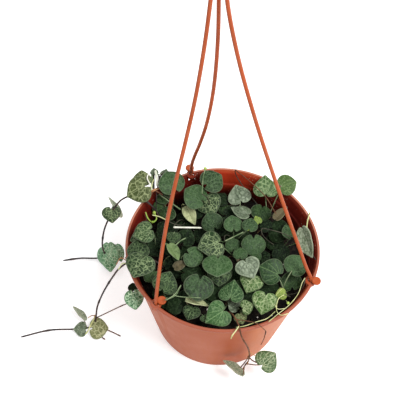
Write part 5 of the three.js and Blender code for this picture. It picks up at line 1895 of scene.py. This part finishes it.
# %% Parts of a stem
KNOT_EVERY, KNOT_LENGTH = 23, 1.5  # steps along a shoot
KNOT_HEIGHT = 0.35  # of its radius
SHOOT_STEPS = 8  # for each point of a shoot or thread
SHOOT_SIDES = 8
BUD_SIDES, TUBER_SIDES = 12, 14
SHOOT_END, THREAD_END = 0.5, 0.6  # shares of the radius
BUD_SHAPE = [(0, -1.1), (0.6, -0.85), (0.95, -0.2), (0.85, 0.5), (0.4, 1), (0, 1.15)]
TUBER_SHAPE = [(0, -1), (0.7, -0.75), (1, 0), (0.75, 0.7), (0, 0.95)]


def knotted(length, radius):
    """The radii along a stem that is a little thicker at its knots."""
    step = np.arange(length) % KNOT_EVERY
    from_knot = np.minimum(step, KNOT_EVERY - step) / KNOT_LENGTH
    return radius * (1 + KNOT_HEIGHT * np.exp(-(from_knot**2)))


def add_lathed(heap, shape, radius, sides, place, skin):
    """Adds a small turned body, whose shape is given in radii."""
    corners, faces = turned([(radius * r, radius * z) for r, z in shape], sides)
    heap.add(corners + place, faces, STALKS[skin])


def add_stalk(heap, handles, foot, tip, skin):
    """Adds a stalk that narrows from its foot to its tip."""
    path = bezier(handles, np.linspace(0, 1, STALK_SAMPLES + 1))
    heap.add(*tube(path, np.linspace(foot, tip, len(path)), STALK_SIDES), STALKS[skin])


def add_shoots(heap, stem):
    """Adds a stem's bare shoots or its trail and twigs, then its buds and its threads."""
    usual = ("stem_brown", TWIG_RADIUS) if stem.trailing else ("stalk_green", RUNNER_RADIUS)
    for i, points in enumerate(stem.bare):
        skin, radius = SHOOTS.get(stem.name, {}).get(i, usual)
        path = spline(points, SHOOT_STEPS * len(points))
        radii = knotted(len(path), radius)
        heap.add(*tube(path, radii, SHOOT_SIDES, SHOOT_END), STALKS[skin])
    for skin, radius, place in BUDS.get(stem.name, []):
        add_lathed(heap, BUD_SHAPE, radius, BUD_SIDES, place or stem.bare[0][-1], skin)
    for skin, radius, *points in STRANDS.get(stem.name, []):
        if not stem.trailing:
            points = [np.array(points[0]) - STRAND_ROOT * LIGHT, *points]
        path = spline(points, SHOOT_STEPS * len(points))
        heap.add(*tube(path, radius, STALK_SIDES, THREAD_END), STALKS[skin])


# %% Stems
STEM_POINTS = 6
LEAF_SEED = 77
leaf_draw = draws(LEAF_SEED)


def make_stem(stem):
    """Makes a stem's piece, and gives how far its box is from its solid's, in millimetres."""
    heap = Heap()
    for leaf, handles in zip(stem.leaves, stem.bends):
        add_leaf(heap, leaf, leaf_draw(0, 1))
        skin = STALK_COLOURS.get(leaf.kind, "stem_brown" if stem.trailing else "stalk_green")
        add_stalk(heap, handles, STALK_FOOT, STALK_TIP, skin)
    for handles in stem.bends[len(stem.leaves) :]:
        add_stalk(heap, handles, STALK_TIP, STALK_TIP, "stalk_dark")
    add_shoots(heap, stem)
    if not stem.trailing:
        foot, crown = stem_ends(stem.root)
        path = np.linspace(foot, crown, STEM_POINTS)
        heap.add(*tube(path, STEM_RADIUS, SHOOT_SIDES), STALKS["stem_dark"])
        add_lathed(heap, TUBER_SHAPE, TUBER_RADIUS, TUBER_SIDES, crown, "tuber_skin")
    made = heap.piece(stem.name.replace("leafy_stem", "leaves").replace("trailing_stem", "trail"))
    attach(made, "root")
    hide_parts(stem.name)
    low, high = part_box(stem.name)
    corners = np.array([v.co for v in made.data.vertices])
    return max(np.abs(corners.min(0) - low).max(), np.abs(corners.max(0) - high).max()) / MM


gaps = {stem.name: make_stem(stem) for stem in plant}
widest = max(gaps, key=gaps.get)
print(f"the stem whose box differs most from its solid's: {widest}, by {gaps[widest]:.2f} mm")

# %% [markdown]
# ## Soil
#
# Potting soil is dark peat with crumbs, a few fibres and white grains. Its top is a fine bumpy
# sheet, and the crumbs are small lumps of many sizes, each turned and stretched another way and
# half sunk.

# %% Soil finishes
SOIL_CLODS, SOIL_GRAIN = 320.0, 1500.0  # in a metre
SOIL_RELIEF = 0.0012  # metres


def soil_skin():
    """Dark peat with brown specks, made darker still by painted shade."""
    finish = Finish("soil", roughness=0.95, specular_ior_level=0.15)
    place = finish.place()
    coarse = finish.noise(place, SOIL_CLODS, 4.0)
    fine = finish.noise(place, SOIL_GRAIN, 3.0)
    # The near-black is partly the peat's own colour and partly painted shade from the leaves over
    # it
    colour = finish.blend(finish.slope(coarse, 0.4, 0.75), paint("#120f0e"), paint("#2c231c"))
    colour = finish.blend(finish.slope(fine, 0.62, 0.8) * 0.5, colour, paint("#4a3b2e"))
    finish.set(base_color=colour)
    finish.bump(coarse + 0.5 * fine, 0.8, SOIL_RELIEF)
    return finish


SOIL = soil_skin()
FIBRE = stalk_skin("fibre", "#5a4630", "#8a7350")
GRAIN_SKIN = stalk_skin("white_grain", "#b9b4aa", "#ded9ce")
print("soil finishes:", *[one.material.name for one in (SOIL, FIBRE, GRAIN_SKIN)])

# %% The bed
SOIL_RINGS = 44
SOIL_SIDES = 120
SOIL_SHOULDER = FOOT_SLOPE + 1
SOIL_EDGE = inner_wall(SOIL_TOP) - CLEARANCE
RIPPLES = 9
RIPPLE_HEIGHT = 0.55
RIPPLE_PITCH = (0.28, 0.13)  # the first wave's radians a millimetre, and what each next one adds
RIPPLE_SHIFT = 5  # radians between the starts of one wave and the next
RIPPLE_SUM = 5  # the highest that their sum comes to, about
RIPPLE_FADE = 8  # the power with which they fade at the pot's wall


def ripples(x, y):
    """A bumpy height from about -1 to 1, as a sum of waves that run all ways."""
    total = np.zeros_like(x)
    for k in range(RIPPLES):
        turn = GOLDEN_TURN * k
        pitch = RIPPLE_PITCH[0] + RIPPLE_PITCH[1] * k
        total += np.sin((x * cos(turn) + y * sin(turn)) * pitch + RIPPLE_SHIFT * k)
    return total / RIPPLE_SUM


def bed_shape():
    """The corners and faces of the soil: up the inside of the pot and in over the rippled top."""
    rings = [
        ring(INNER_FOOT[0] - FOOT_SLOPE + FLOOR - CLEARANCE, FLOOR + CLEARANCE, SOIL_SIDES),
        ring(inner_wall(SOIL_SHOULDER) - CLEARANCE, SOIL_SHOULDER, SOIL_SIDES),
    ]
    for share in np.linspace(0, 1, SOIL_RINGS + 1)[:0:-1]:
        x, y, _ = ring(SOIL_EDGE * share, 0.0, SOIL_SIDES).T
        z = soil_height(x, y) + RIPPLE_HEIGHT * ripples(x, y) * (1 - share**RIPPLE_FADE)
        rings.append(np.column_stack([x, y, z]))
    corners = np.vstack([[[0, 0, FLOOR + CLEARANCE]], *rings, [[0, 0, soil_height(0, 0)]]])
    return corners, wrap(len(rings), SOIL_SIDES)


print("soil edge:", round(SOIL_EDGE, 1), "mm from the middle")

# %% Crumbs, fibres and grains
CRUMBS = 620
CRUMB_SIZES = (0.45, 1.5)
CRUMB_SPREAD = 1.4  # makes more of them small
CRUMB_LIFT = 0.25  # of its size
FIBRES = 34
FIBRE_LENGTHS = (3, 8)
FIBRE_POINTS = 7
FIBRE_RADIUS = 0.22
FIBRE_SIDES = 5
FIBRE_END = 0.4
FIBRE_BOW = 0.25  # of its length
FIBRE_LIFT = 1.0
GRAINS = 26
GRAIN_SIZES = (0.35, 0.7)
GRAIN_LIFT = 0.9
LUMP_STRETCH = (0.65, 1.25)
LUMP_DENT = 0.16
LUMP_ROOM, FIBRE_ROOM = 2, 8  # how far they stay from the soil's edge
SOIL_SEED = 5
soil_draw = np.random.default_rng(SOIL_SEED)


def lump_shape():
    """The corners and faces of a small ball of triangles."""
    mesh = bpy.data.meshes.new("lump")
    ball = bmesh.new()
    bmesh.ops.create_icosphere(ball, subdivisions=2, radius=1)
    ball.to_mesh(mesh)
    ball.free()
    return np.array([v.co for v in mesh.vertices]), [tuple(p.vertices) for p in mesh.polygons]


LUMP = lump_shape()
print("corners of a lump:", len(LUMP[0]))


# %% What lies on the soil
def somewhere(reach):
    """A random place in plan, no further from the middle than a reach."""
    r, turn = reach * sqrt(soil_draw.uniform()), soil_draw.uniform(0, 2 * pi)
    return r * cos(turn), r * sin(turn)


def add_lump(heap, size, lift, skin):
    """Adds a lump somewhere on the soil, turned, stretched and dented at random."""
    x, y = somewhere(SOIL_EDGE - LUMP_ROOM)
    stretch = soil_draw.uniform(*LUMP_STRETCH, 3)
    turn = around(soil_draw.normal(size=3), soil_draw.uniform(0, 2 * pi))
    dents = 1 + soil_draw.uniform(-LUMP_DENT, LUMP_DENT, (len(LUMP[0]), 1))
    place = np.array([x, y, soil_height(x, y) + lift])
    heap.add(place + size * (LUMP[0] * stretch * dents) @ turn.T, LUMP[1], skin)


def add_fibre(heap):
    """Adds a bent fibre that lies level on the soil."""
    x, y = somewhere(SOIL_EDGE - FIBRE_ROOM)
    heading = soil_draw.uniform(0, 2 * pi)
    length = soil_draw.uniform(*FIBRE_LENGTHS)
    along = np.linspace(-0.5, 0.5, FIBRE_POINTS)
    bow = soil_draw.uniform(-FIBRE_BOW, FIBRE_BOW)
    path = np.column_stack([
        x + length * (along * cos(heading) - bow * along * along * sin(heading) * 4),
        y + length * (along * sin(heading) + bow * along * along * cos(heading) * 4),
        np.full(FIBRE_POINTS, soil_height(x, y) + FIBRE_LIFT),
    ])
    heap.add(*tube(path, FIBRE_RADIUS, FIBRE_SIDES, FIBRE_END), FIBRE)


def make_soil():
    """The bed, and what lies on it."""
    heap = Heap()
    heap.add(*bed_shape(), SOIL)
    for _ in range(CRUMBS):
        size = soil_draw.uniform(*CRUMB_SIZES) ** CRUMB_SPREAD
        add_lump(heap, size, CRUMB_LIFT * size, SOIL)
    for _ in range(FIBRES):
        add_fibre(heap)
    for _ in range(GRAINS):
        add_lump(heap, soil_draw.uniform(*GRAIN_SIZES), GRAIN_LIFT, GRAIN_SKIN)
    made = heap.piece("soil_bed")
    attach(made, "root")
    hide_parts("soil")
    return made


print("soil:", len(make_soil().data.polygons), "faces")
